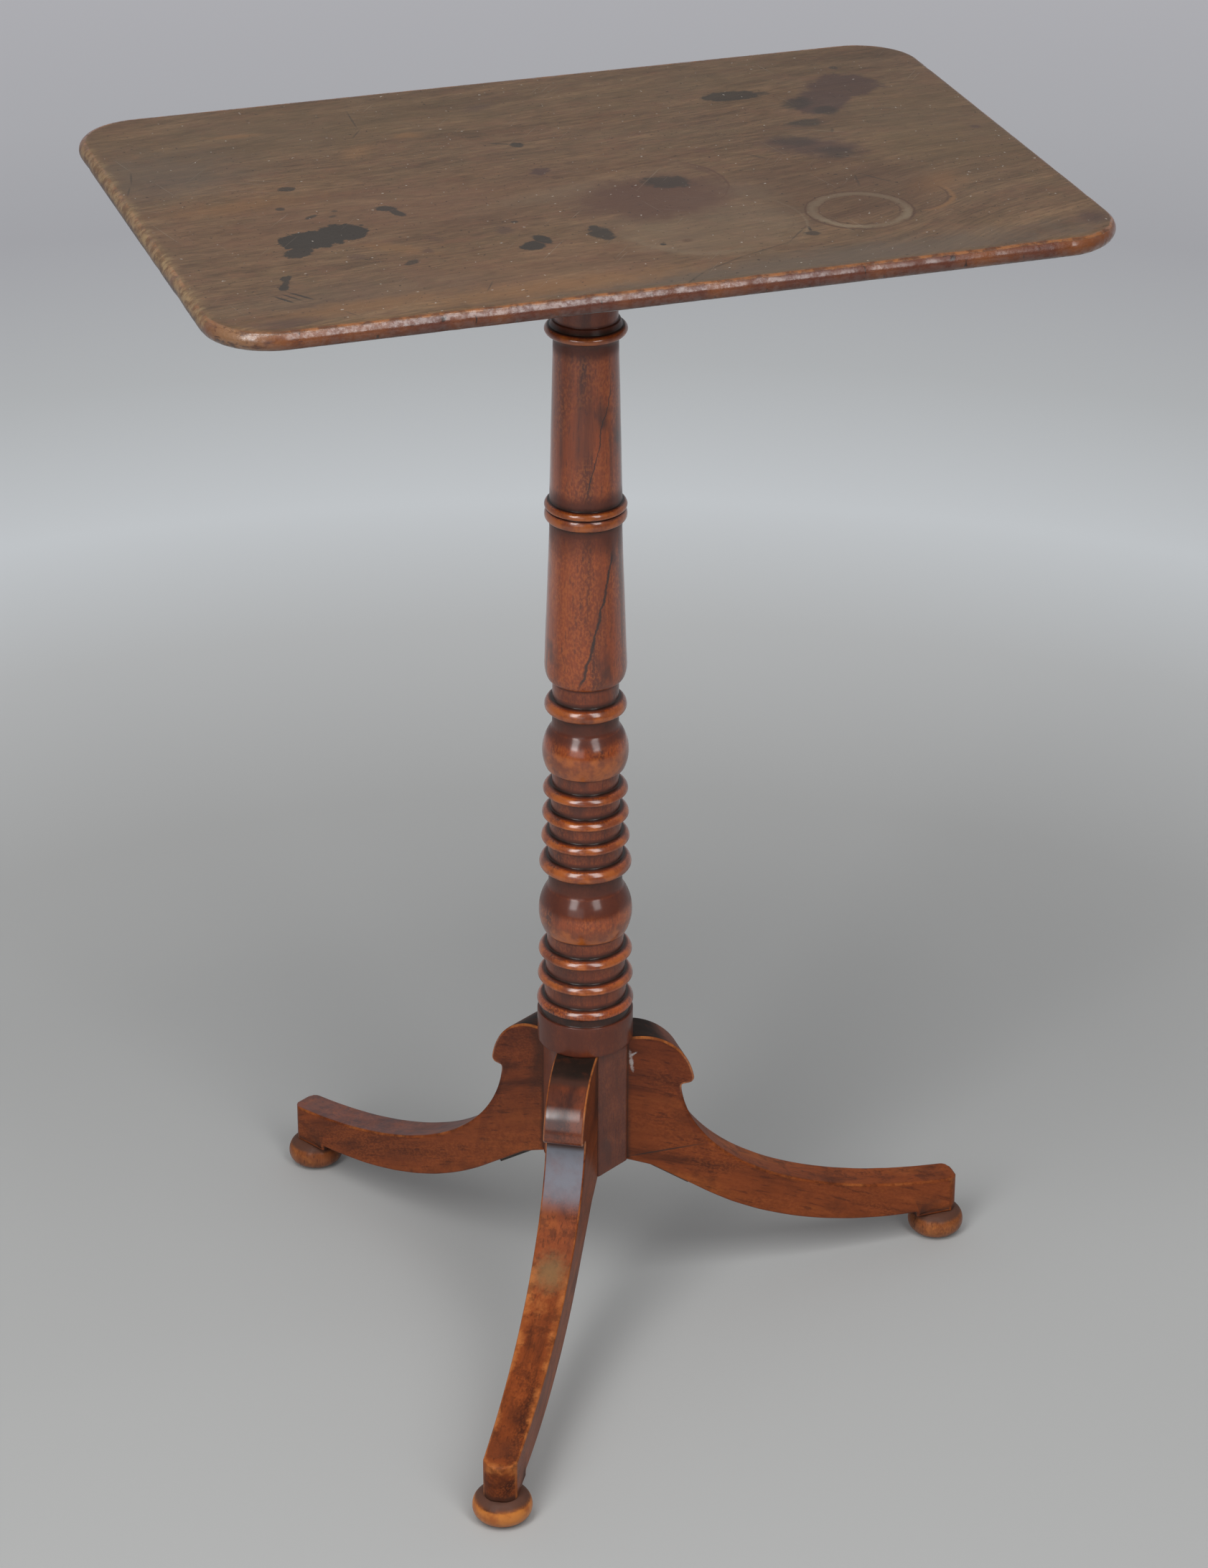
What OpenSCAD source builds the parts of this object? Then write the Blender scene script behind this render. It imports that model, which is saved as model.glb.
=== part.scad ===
// Wine table: a rectangular fixed top on a ring-turned column and three scrolled legs.
// Millimetres. Z is up, the floor is z = 0 and the column stands on the Z axis.
// The long side of the top lies along X and one leg points along +X.

/* [Tabletop] */
// Height of the top surface above the floor
table_h = 710; // [690:5:760]
// Length of the top along X
top_len = 490; // [420:5:620]
// Width of the top along Y
top_wid = 338; // [280:2:460]
// Thickness of the board
top_thick = 11; // [9:0.5:16]
// Plan radius of the corners
corner_r = 37; // [20:1:70]

/* [Block under the top] */
// Side of the square block
block_side = 150; // [120:2:180]
// Thickness of the block
block_thick = 22; // [17:1:28]
// Slope cut off the lower edges of the block
block_cant = 9; // [3:0.5:10]
// Distance of the block's screws from its edges
screw_inset = 18; // [16:1:30]
// How far the block's screws bite into the top
screw_bite = 6.5; // [4:0.5:8]

/* [Column] */
// Height of the column's underside above the floor
hub_lift = 97.5; // [90:0.5:106]
// Radius over the corners of the six-sided hub that takes the legs
hub_r = 25.3; // [24.5:0.1:27]
// Radius of the plain round base over the hub
base_r = 28; // [27.5:0.5:33]
// Height of the plain round base
base_h = 19.2; // [14:0.2:26]
// Radius of the cove between the base and the lowest ring
cove_r = 26.4; // [24.5:0.1:26.8]
// Height of that cove
cove_h = 5.2; // [3:0.1:8]
// Height of a small ring
ring_h = 5.2; // [4:0.1:7]
// Rounding under a small ring
ring_lip = 1.1; // [0.5:0.1:2]
// Radius lost from one ring to the next above
ring_taper = 0.5; // [0:0.1:0.9]
// Radius lost from one neck to the next above
neck_taper = 0.8; // [0:0.1:1]
// Height of the neck between a small ring and a ball or a large ring
short_neck_h = 10.4; // [7:0.1:14]
// Height of a large ring
big_ring_h = 8.3; // [6.5:0.1:10]
// Rounding under a large ring
big_ring_lip = 3; // [1:0.1:3.8]
// Radius of the hollow from a ball up to its neck
ball_fillet = 6; // [3:0.5:9]

/* [Lower turned set] */
// Radius of the lowest ring
low_ring_r = 28.2; // [27.6:0.1:31]
// Distance from ring to ring
low_pitch = 16.4; // [13:0.1:20]
// Radius of the neck above the lowest ring
low_neck_r = 23.9; // [22:0.1:24.6]
// Radius of the ball
low_ball_r = 27.1; // [26:0.1:30]
// Height of the ball's centre above its flat underside
low_ball_cut = 11.8; // [8:0.1:14]
// Height of the large ring above the ball's centre
low_ball_rise = 28; // [26:0.5:34]
// Radius of the neck above the ball
low_top_neck_r = 21.3; // [18:0.1:23]
// Radius of the large ring
low_big_ring_r = 26.6; // [25:0.1:30]

/* [Upper turned set] */
// Radius of the neck under the lowest ring
mid_neck_r = 21.5; // [19:0.1:23.5]
// Radius of the lowest ring
up_ring_r = 25.4; // [24.5:0.1:28]
// Distance from ring to ring
up_pitch = 15.3; // [13:0.1:20]
// Radius of the neck above the lowest ring
up_neck_r = 20.7; // [19:0.1:22]
// Radius of the ball
up_ball_r = 24.7; // [23.5:0.1:28]
// Height of the ball's centre above its flat underside
up_ball_cut = 10.1; // [7:0.1:12.5]
// Height of the large ring above the ball's centre
up_ball_rise = 25.5; // [24:0.5:32]
// Radius of the neck above the ball
up_top_neck_r = 19; // [16:0.1:20.2]
// Radius of the large ring
up_big_ring_r = 23.5; // [22.4:0.1:27]

/* [Shaft] */
// Radius of the neck under the lower shaft
waist_r = 18.9; // [16:0.1:21]
// Height of the neck under the lower shaft
waist_h = 11.5; // [8:0.1:15]
// Length of the lower shaft
low_shaft_h = 97.5; // [80:0.5:115]
// Radius of the lower shaft at its shoulder
shoulder_r = 22.7; // [21.5:0.1:23.2]
// Radius of the lower shaft where it swells most
swell_r = 23.4; // [22.8:0.1:26]
// Height of that swelling above the shoulder
swell_h = 11; // [6:0.5:18]
// Radius of the lower shaft at its top
low_shaft_top_r = 20.4; // [18:0.1:20.5]
// Radius of the pair of rings between the shafts
pair_r = 23.1; // [23:0.1:26]
// Height of the lower ring of the pair
pair_low_h = 6.7; // [5:0.1:9]
// Height of the upper ring of the pair
pair_up_h = 4.4; // [3.5:0.1:6]
// Depth of the groove between the pair
pair_groove = 1.6; // [1.4:0.1:2.4]
// Radius of the upper shaft at its foot
up_shaft_low_r = 20.3; // [18.5:0.1:21]
// Radius of the upper shaft at its top
up_shaft_top_r = 18.1; // [16:0.1:20]
// Radius of the collar at the top of the shaft
collar_r = 22.9; // [22.6:0.1:26]
// Height of the collar
collar_h = 5; // [4:0.1:6]
// Radius of the neck that carries the block
neck_r = 17.7; // [15.5:0.1:18.4]
// Length of that neck
neck_h = 47.6; // [40:0.2:56]
// Radius of the capital under the block
capital_r = 28; // [27.5:0.5:34]
// Height of the capital
capital_h = 5; // [3:0.5:8]
// Height of the cove under the capital
capital_cove = 9; // [5:0.5:9]
// Radius of the tenon in the block
tenon_r = 13; // [10:0.5:15]

/* [Tenon wedge] */
// Thickness of the wedge at its upper end
wedge_thick = 3; // [2:0.1:4]
// Thickness of the wedge at its lower end
wedge_tip = 1.2; // [0.8:0.1:1.8]
// Height of the wedge
wedge_h = 15; // [10:0.5:16]

/* [Legs] */
// Distance of the feet from the column's axis
leg_reach = 228; // [205:1:260]
// Radius of the scroll on top of the leg
scroll_r = 41.5; // [39:0.5:44]
// Distance of the scroll's centre from the column's axis
scroll_at = 23.5; // [20:0.5:25]
// Height of the scroll's centre above the column's underside
scroll_lift = 42; // [39:0.5:47]
// Height of the scroll's nose above the scroll's centre
nose_lift = 6.5; // [4:0.5:10]
// Radius of the nose
nose_r = 3.5; // [2:0.1:5]
// How far the nose stands out over the leg
nose_over = 8; // [6:0.5:10]
// Thickness of the leg at the column
knee_thick = 24.5; // [20:0.5:24.5]
// Thickness of the leg at the toe
toe_thick = 19.5; // [15:0.5:23]
// Height of the toe
toe_h = 23.5; // [19:0.5:28]
// How far the toe runs past the foot's centre
toe_past = 11.5; // [7.5:0.5:14]
// How much larger the plan radius of the toe's end is than half its thickness
toe_ease = 0.7; // [0.2:0.1:6]
// Rounding of the toe's upper edge
toe_edge = 3; // [1:0.5:5]
// Length of the pad under the toe
pad_len = 28; // [24:0.5:40]
// Height of the step behind the pad
pad_step = 3.5; // [1.5:0.5:6]
// How steeply the upper edge drops from the nose
throat_pull = 43; // [30:1:55]
// How long the upper edge runs level towards the toe
instep_pull = 121.5; // [90:0.5:130]
// How long the lower edge runs level behind the pad
arch_pull = 66; // [50:1:80]
// Run of the easy slope where the underside leaves the column
spring_run = 16.5; // [12:0.5:20]
// Fall of that slope
spring_fall = 7.5; // [5:0.5:10]
// Angle of the straight seat that follows, in degrees
seat_slope = 36; // [32:0.5:40]
// Distance from the column's axis to the end of the seat
seat_end = 73; // [70:1:80]

/* [Dovetail joint] */
// Depth of the dovetail in the hub
tail_depth = 9; // [7:0.5:10]
// Width of the dovetail at the hub's flat
tail_wid = 11; // [8:0.5:13]
// Widening of the dovetail at its root
tail_flare = 4; // [2:0.5:5]
// Height of the dovetail
tail_h = 78; // [60:1:80]

/* [Feet] */
// Diameter of the bun
foot_d = 34; // [30:0.5:40]
// Height of the bun
foot_h = 17; // [13:0.5:20]
// Diameter of the spigot
spigot_d = 10; // [7:0.5:11]
// Length of the spigot
spigot_h = 13; // [8:0.5:15]

/* [Iron brace] */
// Thickness of the iron
brace_thick = 2; // [1.8:0.1:3]
// Width of each arm
brace_wid = 12; // [9:0.5:16]
// Distance from the column's axis to the end of each arm
brace_reach = 64; // [60:0.5:70]
// Radius of the plate's round middle
brace_hub_r = 17; // [14:0.5:22]
// Distance of each arm's screw from the column's axis
brace_screw_at = 52; // [46:0.5:54]
// Length of the brace's screws
brace_screw_len = 14; // [10:0.5:18]

/* [Screws and clearances] */
// Radius of a screw's head
head_r = 3.6; // [3:0.1:4]
// Height of a screw's sunk head
head_h = 1.7; // [1.2:0.1:1.7]
// Radius of a screw's shank
shank_r = 1.8; // [1.2:0.1:2.2]
// Width of the slot in a screw's head
slot_wid = 0.8; // [0.5:0.1:1.2]
// Depth of the slot in a screw's head
slot_depth = 0.7; // [0.4:0.1:1]
// Clearance of a glued joint
fit_gap = 0.1; // [0.05:0.05:0.2]
// Clearance around a screw's shank
screw_gap = 0.2; // [0.1:0.05:0.3]

/* [Hidden] */
$fn = 72;

// Length by which a cut or a union runs past a face
over = 1;
// Segments of a quarter moulding, of a ball's outline and of a long leg curve
quarter_n = 4;
ball_n = 12;
curve_n = 20;
// Facets of the rounded corners of the top
corner_fn = 64;

right_turn = 0;
back_turn = 120;
front_turn = 240;
leg_turns = [right_turn, back_turn, front_turn];

mahogany = [0.36, 0.16, 0.08];
mahogany_red = [0.42, 0.18, 0.09];
faded_top = [0.38, 0.29, 0.21];
pine = [0.62, 0.46, 0.28];
iron = [0.16, 0.15, 0.14];
steel = [0.45, 0.44, 0.42];

// Heights above the floor, from the top board down to the collar
block_top = table_h - top_thick;
block_low = block_top - block_thick;
ledge = block_low - neck_h;
band_h = 3.2;
cavetto_h = 3.3;
band_top_r = neck_r + 1.2;
band_low_r = band_top_r + 1.1;
collar = ledge - band_h - collar_h;

// Heights above the floor, from the column's foot up to the shafts
ring_count = 3;
scroll_z = hub_lift + scroll_lift;
hub_flat = hub_r * cos(30);
hub_top = scroll_z + scroll_r + 2 * fit_gap;
base_top = hub_top + base_h;
low_set = base_top + cove_h;
low_ball = low_set + (ring_count - 1) * low_pitch + ring_h + short_neck_h + low_ball_cut;
low_big = low_ball + low_ball_rise;
up_set = low_big + big_ring_h + short_neck_h;
up_ball = up_set + (ring_count - 1) * up_pitch + ring_h + short_neck_h + up_ball_cut;
up_big = up_ball + up_ball_rise;
shoulder = up_big + big_ring_h + waist_h;
pair = shoulder + low_shaft_h;
pair_split = 0.5;
pair_low_lip = 2.5;
pair_up_lip = 1.3;
pair_mid = pair + pair_low_h + pair_split;

// The leg's outline: X is the distance from the column's axis
nose_x = scroll_at + sqrt(pow(scroll_r, 2) - pow(nose_lift, 2));
nose_z = scroll_z + nose_lift;
throat = [nose_x - nose_over, nose_z - nose_r - 2.5];
toe_end = leg_reach + toe_past;
toe_top = foot_h + toe_h;
toe_round = toe_thick / 2 + toe_ease;
heel = [toe_end - pad_len, foot_h + pad_step];
spring = [hub_flat + spring_run, hub_lift - spring_fall];
spring_slope = atan2(spring_fall, spring_run);
seat = [seat_end, spring[1] - (seat_end - spring[0]) * tan(seat_slope)];
seat_pull = 34;
spigot_room = 1;

// Points of an arc about (x, z)
function arc(x, z, r, from, to, n) =
    [for (i = [0 : n]) let (a = from + (to - from) * i / n) [x + r * cos(a), z + r * sin(a)]];

// Points of a cubic curve from p to s with the handles q and r
function bezier(p, q, r, s, n) =
    [for (i = [0 : n]) let (t = i / n, u = 1 - t)
        u * u * u * p + 3 * u * u * t * q + 3 * u * t * t * r + t * t * t * s];

// Points of a hollow quarter that rises and widens from r_low to r_high
function cove(z, h, r_low, r_high) =
    [for (i = [0 : quarter_n]) let (a = 90 * i / quarter_n)
        [r_low + (r_high - r_low) * (1 - cos(a)), z + h * sin(a)]];

// Points of a ring: a rounded lip below, then an oval quarter up to the neck above it
function ring(z, h, lip, r_out, r_neck) = concat(
    arc(r_out - lip, z + lip, lip, -90, 0, quarter_n),
    [for (i = [1 : quarter_n]) let (a = 90 * i / quarter_n)
        [r_neck + (r_out - r_neck) * cos(a), z + lip + (h - lip) * sin(a)]]
);

// Points of one set's small rings, each with the neck above it; the last neck ends at last_z
function small_rings(z, pitch, r_ring, r_neck, last_z) = [
    for (i = [0 : ring_count - 1])
        let (
            neck = r_neck - i * neck_taper,
            neck_end = i < ring_count - 1 ? z + (i + 1) * pitch : last_z
        )
        each concat(ring(z + i * pitch, ring_h, ring_lip, r_ring - i * ring_taper, neck), [[neck, neck_end]])
];

// Points of a ball about the height z: cut flat below, run into the neck above with a hollow
function ball(z, r, cut, neck) =
    let (
        side = neck + ball_fillet,
        rise = sqrt(pow(r + ball_fillet, 2) - pow(side, 2)),
        touch = atan2(rise, side)
    )
    concat(
        arc(0, z, r, -asin(cut / r), touch, ball_n),
        [for (i = [1 : quarter_n]) let (a = 180 + touch * (1 - i / quarter_n))
            [side + ball_fillet * cos(a), z + rise + ball_fillet * sin(a)]]
    );

// Points of the lower shaft: a rounded shoulder, the swelling and a straight taper
function lower_shaft() = concat(
    [for (i = [0 : 2 * quarter_n]) let (a = 45 * i / quarter_n)
        [shoulder_r + (swell_r - shoulder_r) * sin(a), shoulder + swell_h * (1 - cos(a))]],
    [[low_shaft_top_r, pair]]
);

// Half of the turned column's outline, from the foot of the round base to the top of the tenon
function column_outline() = concat(
    [[0, hub_top], [base_r, hub_top], [base_r, base_top], [cove_r, base_top], [cove_r, low_set]],
    small_rings(low_set, low_pitch, low_ring_r, low_neck_r, low_ball - low_ball_cut),
    ball(low_ball, low_ball_r, low_ball_cut, low_top_neck_r),
    [[low_top_neck_r, low_big]],
    ring(low_big, big_ring_h, big_ring_lip, low_big_ring_r, mid_neck_r),
    [[mid_neck_r, up_set]],
    small_rings(up_set, up_pitch, up_ring_r, up_neck_r, up_ball - up_ball_cut),
    ball(up_ball, up_ball_r, up_ball_cut, up_top_neck_r),
    [[up_top_neck_r, up_big]],
    ring(up_big, big_ring_h, big_ring_lip, up_big_ring_r, waist_r),
    [[waist_r, shoulder]],
    lower_shaft(),
    ring(pair, pair_low_h, pair_low_lip, pair_r, pair_r - pair_groove),
    [[pair_r - pair_groove, pair_mid]],
    ring(pair_mid, pair_up_h, pair_up_lip, pair_r, up_shaft_low_r),
    cove(collar - cavetto_h, cavetto_h, up_shaft_top_r, collar_r - collar_h / 2),
    ring(collar, collar_h, collar_h / 2.1, collar_r, band_low_r),
    [[band_top_r, ledge], [neck_r, ledge]],
    cove(block_low - capital_h - capital_cove, capital_cove, neck_r, neck_r + capital_cove),
    [[capital_r, block_low - capital_h], [capital_r, block_low],
     [tenon_r, block_low], [tenon_r, block_top], [0, block_top]]
);

// The leg's side outline, from inside the column round the scroll to the toe and back
function leg_outline() = concat(
    [[0, scroll_z + scroll_r]],
    arc(scroll_at, scroll_z, scroll_r, 90, asin(nose_lift / scroll_r), ball_n),
    arc(nose_x - nose_r, nose_z, nose_r, -90 / quarter_n, -90, quarter_n - 1),
    [[throat[0], nose_z - nose_r]],
    bezier(throat, throat + [5.5, -throat_pull], [toe_end - instep_pull, toe_top + 5.5],
           [toe_end - toe_edge, toe_top], curve_n),
    arc(toe_end - toe_edge, toe_top - toe_edge, toe_edge, 90 - 90 / quarter_n, 0, quarter_n - 1),
    [[toe_end, foot_h], [heel[0], foot_h]],
    bezier(heel, heel + [-arch_pull, 2], seat + seat_pull * [cos(seat_slope), -sin(seat_slope)], seat,
           curve_n),
    [spring, [hub_flat, hub_lift], [0, hub_lift]]
);

// The leg's outline from above, with the rounded end of the toe
function leg_plan() =
    let (half_end = asin(toe_thick / 2 / toe_round))
    concat(
        [[hub_flat, knee_thick / 2], [hub_flat, -knee_thick / 2], [base_r, -knee_thick / 2]],
        arc(toe_end - toe_round, 0, toe_round, -half_end, half_end, 2 * quarter_n),
        [[base_r, knee_thick / 2]]
    );

// The dovetail from above, grown by gap on every side
function tail_plan(gap) =
    let (
        root = hub_flat - tail_depth - gap,
        mouth = tail_wid / 2 + gap,
        wide = (tail_wid + tail_flare) / 2 + gap
    )
    [[root, -wide], [hub_flat + over, -mouth], [hub_flat + over, mouth], [root, wide]];

// Half of the bun's outline, from the floor round its side to the end of the spigot
function foot_outline() =
    let (flat_r = (foot_d - foot_h) / 2, widest = 0.46 * foot_h)
    concat(
        [for (i = [0 : 2 * quarter_n]) let (a = 45 * i / quarter_n)
            [flat_r + foot_h / 2 * sin(a), widest * (1 - cos(a))]],
        [for (i = [1 : 2 * quarter_n]) let (a = 45 * i / quarter_n)
            [flat_r + foot_h / 2 * cos(a), widest + (foot_h - widest) * sin(a)]],
        [[spigot_d / 2, foot_h], [spigot_d / 2, foot_h + spigot_h], [0, foot_h + spigot_h], [0, 0]]
    );

// Corner of the brace's lower face, below the bend p between two slopes
function below(p, slope_in, slope_out) =
    let (mid = (slope_in + slope_out) / 2)
    p - brace_thick / cos((slope_out - slope_in) / 2) * [sin(mid), cos(mid)];

// One arm of the brace from the side; its upper face lies on the column and the leg
function arm_outline() =
    let (
        hub = [hub_flat, hub_lift],
        tip = [brace_reach, spring[1] - (brace_reach - spring[0]) * tan(seat_slope)]
    )
    [
        [0, hub_lift], hub, spring, tip,
        below(tip, seat_slope, seat_slope), below(spring, spring_slope, seat_slope),
        below(hub, 0, spring_slope), [0, hub_lift - brace_thick]
    ];

// Stands a side outline up and gives it the thickness t across Y
module upright(t) {
    rotate([90, 0, 0])
        linear_extrude(height = t, center = true)
            children();
}

// A countersunk screw; its head's face is at z = 0 and it points up
module screw(length) {
    difference() {
        union() {
            cylinder(h = head_h, r1 = head_r, r2 = shank_r);
            cylinder(h = length - shank_r, r = shank_r);
            translate([0, 0, length - shank_r])
                cylinder(h = shank_r, r1 = shank_r, r2 = shank_r / 4);
        }
        translate([-head_r - over, -slot_wid / 2, -over])
            cube([2 * (head_r + over), slot_wid, slot_depth + over]);
    }
}

// The hole for that screw: its head fits close, its shank has room
module screw_hole(length) {
    cylinder(h = head_h, r1 = head_r, r2 = shank_r);
    translate([0, 0, -over])
        cylinder(h = over, r = head_r);
    cylinder(h = length + screw_gap, r = shank_r + screw_gap);
}

// Places its children at each of the block's screws, in the block's lower face
module at_block_screws() {
    at = block_side / 2 - screw_inset;
    for (x = [-at, at])
        for (y = [-at, at])
            translate([x, y, block_low])
                children();
}

// Places its children at the screw in the middle of the brace
module at_hub_screw() {
    translate([0, 0, hub_lift - brace_thick])
        children();
}

// Places its children at the arm's screw, square to the arm's lower face
module at_arm_screw() {
    z = spring[1] - (brace_screw_at - spring[0]) * tan(seat_slope);
    translate([brace_screw_at, 0, z])
        rotate([0, seat_slope, 0])
            translate([0, 0, -brace_thick])
                children();
}

// Side of the wedge, with its point grown downwards by room
module wedge_side(room) {
    slope = (wedge_thick - wedge_tip) / 2 / wedge_h;
    half_tip = wedge_tip / 2 - slope * room;
    upright(3 * tenon_r)
        polygon([
            [-half_tip, block_top - wedge_h - room], [half_tip, block_top - wedge_h - room],
            [wedge_thick / 2, block_top], [-wedge_thick / 2, block_top]
        ]);
}

module tabletop() {
    color(faded_top)
        difference() {
            hull()
                for (x = [-1, 1])
                    for (y = [-1, 1])
                        translate([x * (top_len / 2 - corner_r), y * (top_wid / 2 - corner_r), block_top])
                            rotate_extrude($fn = corner_fn)
                                polygon(concat(
                                    [[0, 0]],
                                    arc(corner_r - top_thick / 2, top_thick / 2, top_thick / 2,
                                        -90, 90, ball_n),
                                    [[0, top_thick]]
                                ));
            at_block_screws()
                cylinder(h = block_thick + screw_bite + screw_gap, r = shank_r + screw_gap);
        }
}

module top_block() {
    side = [
        [-block_side / 2, block_top], [-block_side / 2, block_low + block_cant],
        [-block_side / 2 + block_cant, block_low], [block_side / 2 - block_cant, block_low],
        [block_side / 2, block_low + block_cant], [block_side / 2, block_top]
    ];
    color(pine)
        difference() {
            intersection() {
                upright(block_side)
                    polygon(side);
                rotate([0, 0, 90])
                    upright(block_side)
                        polygon(side);
            }
            translate([0, 0, block_low - over])
                cylinder(h = block_thick + 2 * over, r = tenon_r + fit_gap);
            at_block_screws()
                screw_hole(block_thick + over);
        }
}

module block_screws() {
    color(steel)
        at_block_screws()
            screw(block_thick + screw_bite);
}

module column() {
    color(mahogany_red)
        difference() {
            union() {
                rotate_extrude()
                    polygon(column_outline());
                rotate([0, 0, 30])
                    translate([0, 0, hub_lift])
                        cylinder(h = hub_top - hub_lift + over, r = hub_r, $fn = 6);
            }
            for (turn = leg_turns)
                rotate([0, 0, turn])
                    translate([0, 0, hub_lift - over])
                        linear_extrude(height = tail_h + fit_gap + over)
                            polygon(tail_plan(fit_gap));
            wedge_side(fit_gap);
            at_hub_screw()
                screw_hole(brace_screw_len);
        }
}

module tenon_wedge() {
    color(mahogany)
        intersection() {
            wedge_side(0);
            translate([0, 0, block_low])
                cylinder(h = block_thick + over, r = tenon_r);
        }
}

module leg() {
    difference() {
        union() {
            intersection() {
                upright(knee_thick + over)
                    polygon(leg_outline());
                linear_extrude(height = scroll_z + scroll_r + over)
                    polygon(leg_plan());
            }
            translate([0, 0, hub_lift])
                linear_extrude(height = tail_h)
                    polygon(tail_plan(0));
        }
        translate([leg_reach, 0, 0])
            cylinder(h = foot_h + spigot_h + spigot_room, r = spigot_d / 2 + fit_gap);
        at_arm_screw()
            screw_hole(brace_screw_len);
    }
}

module leg_right() {
    color(mahogany)
        rotate([0, 0, right_turn])
            leg();
}

module leg_back() {
    color(mahogany)
        rotate([0, 0, back_turn])
            leg();
}

module leg_front() {
    color(mahogany)
        rotate([0, 0, front_turn])
            leg();
}

module foot() {
    translate([leg_reach, 0, 0])
        rotate_extrude()
            polygon(foot_outline());
}

module foot_right() {
    color(mahogany_red)
        rotate([0, 0, right_turn])
            foot();
}

module foot_back() {
    color(mahogany_red)
        rotate([0, 0, back_turn])
            foot();
}

module foot_front() {
    color(mahogany_red)
        rotate([0, 0, front_turn])
            foot();
}

module leg_brace() {
    color(iron)
        difference() {
            union() {
                translate([0, 0, hub_lift - brace_thick])
                    cylinder(h = brace_thick, r = brace_hub_r);
                for (turn = leg_turns)
                    rotate([0, 0, turn])
                        upright(brace_wid)
                            polygon(arm_outline());
            }
            at_hub_screw()
                screw_hole(brace_screw_len);
            for (turn = leg_turns)
                rotate([0, 0, turn])
                    at_arm_screw()
                        screw_hole(brace_screw_len);
        }
}

module brace_screws() {
    color(steel) {
        at_hub_screw()
            screw(brace_screw_len);
        for (turn = leg_turns)
            rotate([0, 0, turn])
                at_arm_screw()
                    screw(brace_screw_len);
    }
}

tabletop();
top_block();
block_screws();
column();
tenon_wedge();
leg_right();
leg_back();
leg_front();
foot_right();
foot_back();
foot_front();
leg_brace();
brace_screws();
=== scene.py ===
"""Looks of the wine table: a fixed board, a ring-turned column and three scrolled legs on bun feet.

Shapes are worked out in millimetres in the part's own frame and put into the meshes in metres: Z is up, the
floor is z = 0, the column stands on the Z axis, the long side of the top and the right leg lie along +X.
"""

import logging
import math
from dataclasses import dataclass
from enum import Enum
from functools import partial, reduce

import bpy
import numpy as np
from mathutils import Matrix, Vector


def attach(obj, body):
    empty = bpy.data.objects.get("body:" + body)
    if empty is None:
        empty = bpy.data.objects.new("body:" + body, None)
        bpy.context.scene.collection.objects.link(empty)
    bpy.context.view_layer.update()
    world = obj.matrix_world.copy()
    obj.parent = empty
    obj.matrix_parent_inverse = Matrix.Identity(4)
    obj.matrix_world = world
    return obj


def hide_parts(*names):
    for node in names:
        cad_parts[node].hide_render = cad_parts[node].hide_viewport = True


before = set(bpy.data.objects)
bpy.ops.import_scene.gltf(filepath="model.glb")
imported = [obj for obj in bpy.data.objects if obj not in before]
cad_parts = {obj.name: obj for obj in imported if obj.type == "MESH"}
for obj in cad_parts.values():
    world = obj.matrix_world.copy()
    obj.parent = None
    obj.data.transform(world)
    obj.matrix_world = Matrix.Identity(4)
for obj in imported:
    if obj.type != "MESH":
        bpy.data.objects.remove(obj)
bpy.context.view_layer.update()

LOG = logging.getLogger("wine_table")
MM = 0.001
Array = np.ndarray
Color = tuple[float, float, float]
Socket = bpy.types.NodeSocket
Value = float | Socket
Tone = Color | Socket
Values = float | list[float] | Array
Groups = dict[str, "SharedGroup"]


class Surface(Enum):
    """Names of the mesh attributes that the finishes read."""

    GRAIN = "grain"
    RUB = "rub"
    # Darkening by dirt, and painted shade in creases, joints and where parts meet.
    GRIME_AND_SHADE = "grime_and_shade"
    UNDER = "under"
    ROUND = "round"
    # Painted reflection under a leg's nose, and grey dust on a leg's run.
    BLOOM = "sheen_and_dust"
    DULL = "dull"
    # 1 where the leg's painted knee shade is not laid, 0 near the column.
    UNSHADED = "unshaded"


# Sizes


@dataclass(frozen=True)
class TopSizes:
    """Sizes of the board in mm."""

    height: float = 710.0
    length: float = 490.0
    width: float = 338.0
    thick: float = 11.0
    corner: float = 37.0


@dataclass(frozen=True)
class TurnedSet:
    """One set of three rings, a ball and a large ring; heights are above the set's foot, in mm."""

    foot: float
    pitch: float
    ring_r: float
    neck_r: float
    ball_r: float
    ball_cut: float
    ball_rise: float
    top_neck_r: float
    big_ring_r: float
    next_neck_r: float
    first_worn: float = 0.7


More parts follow.
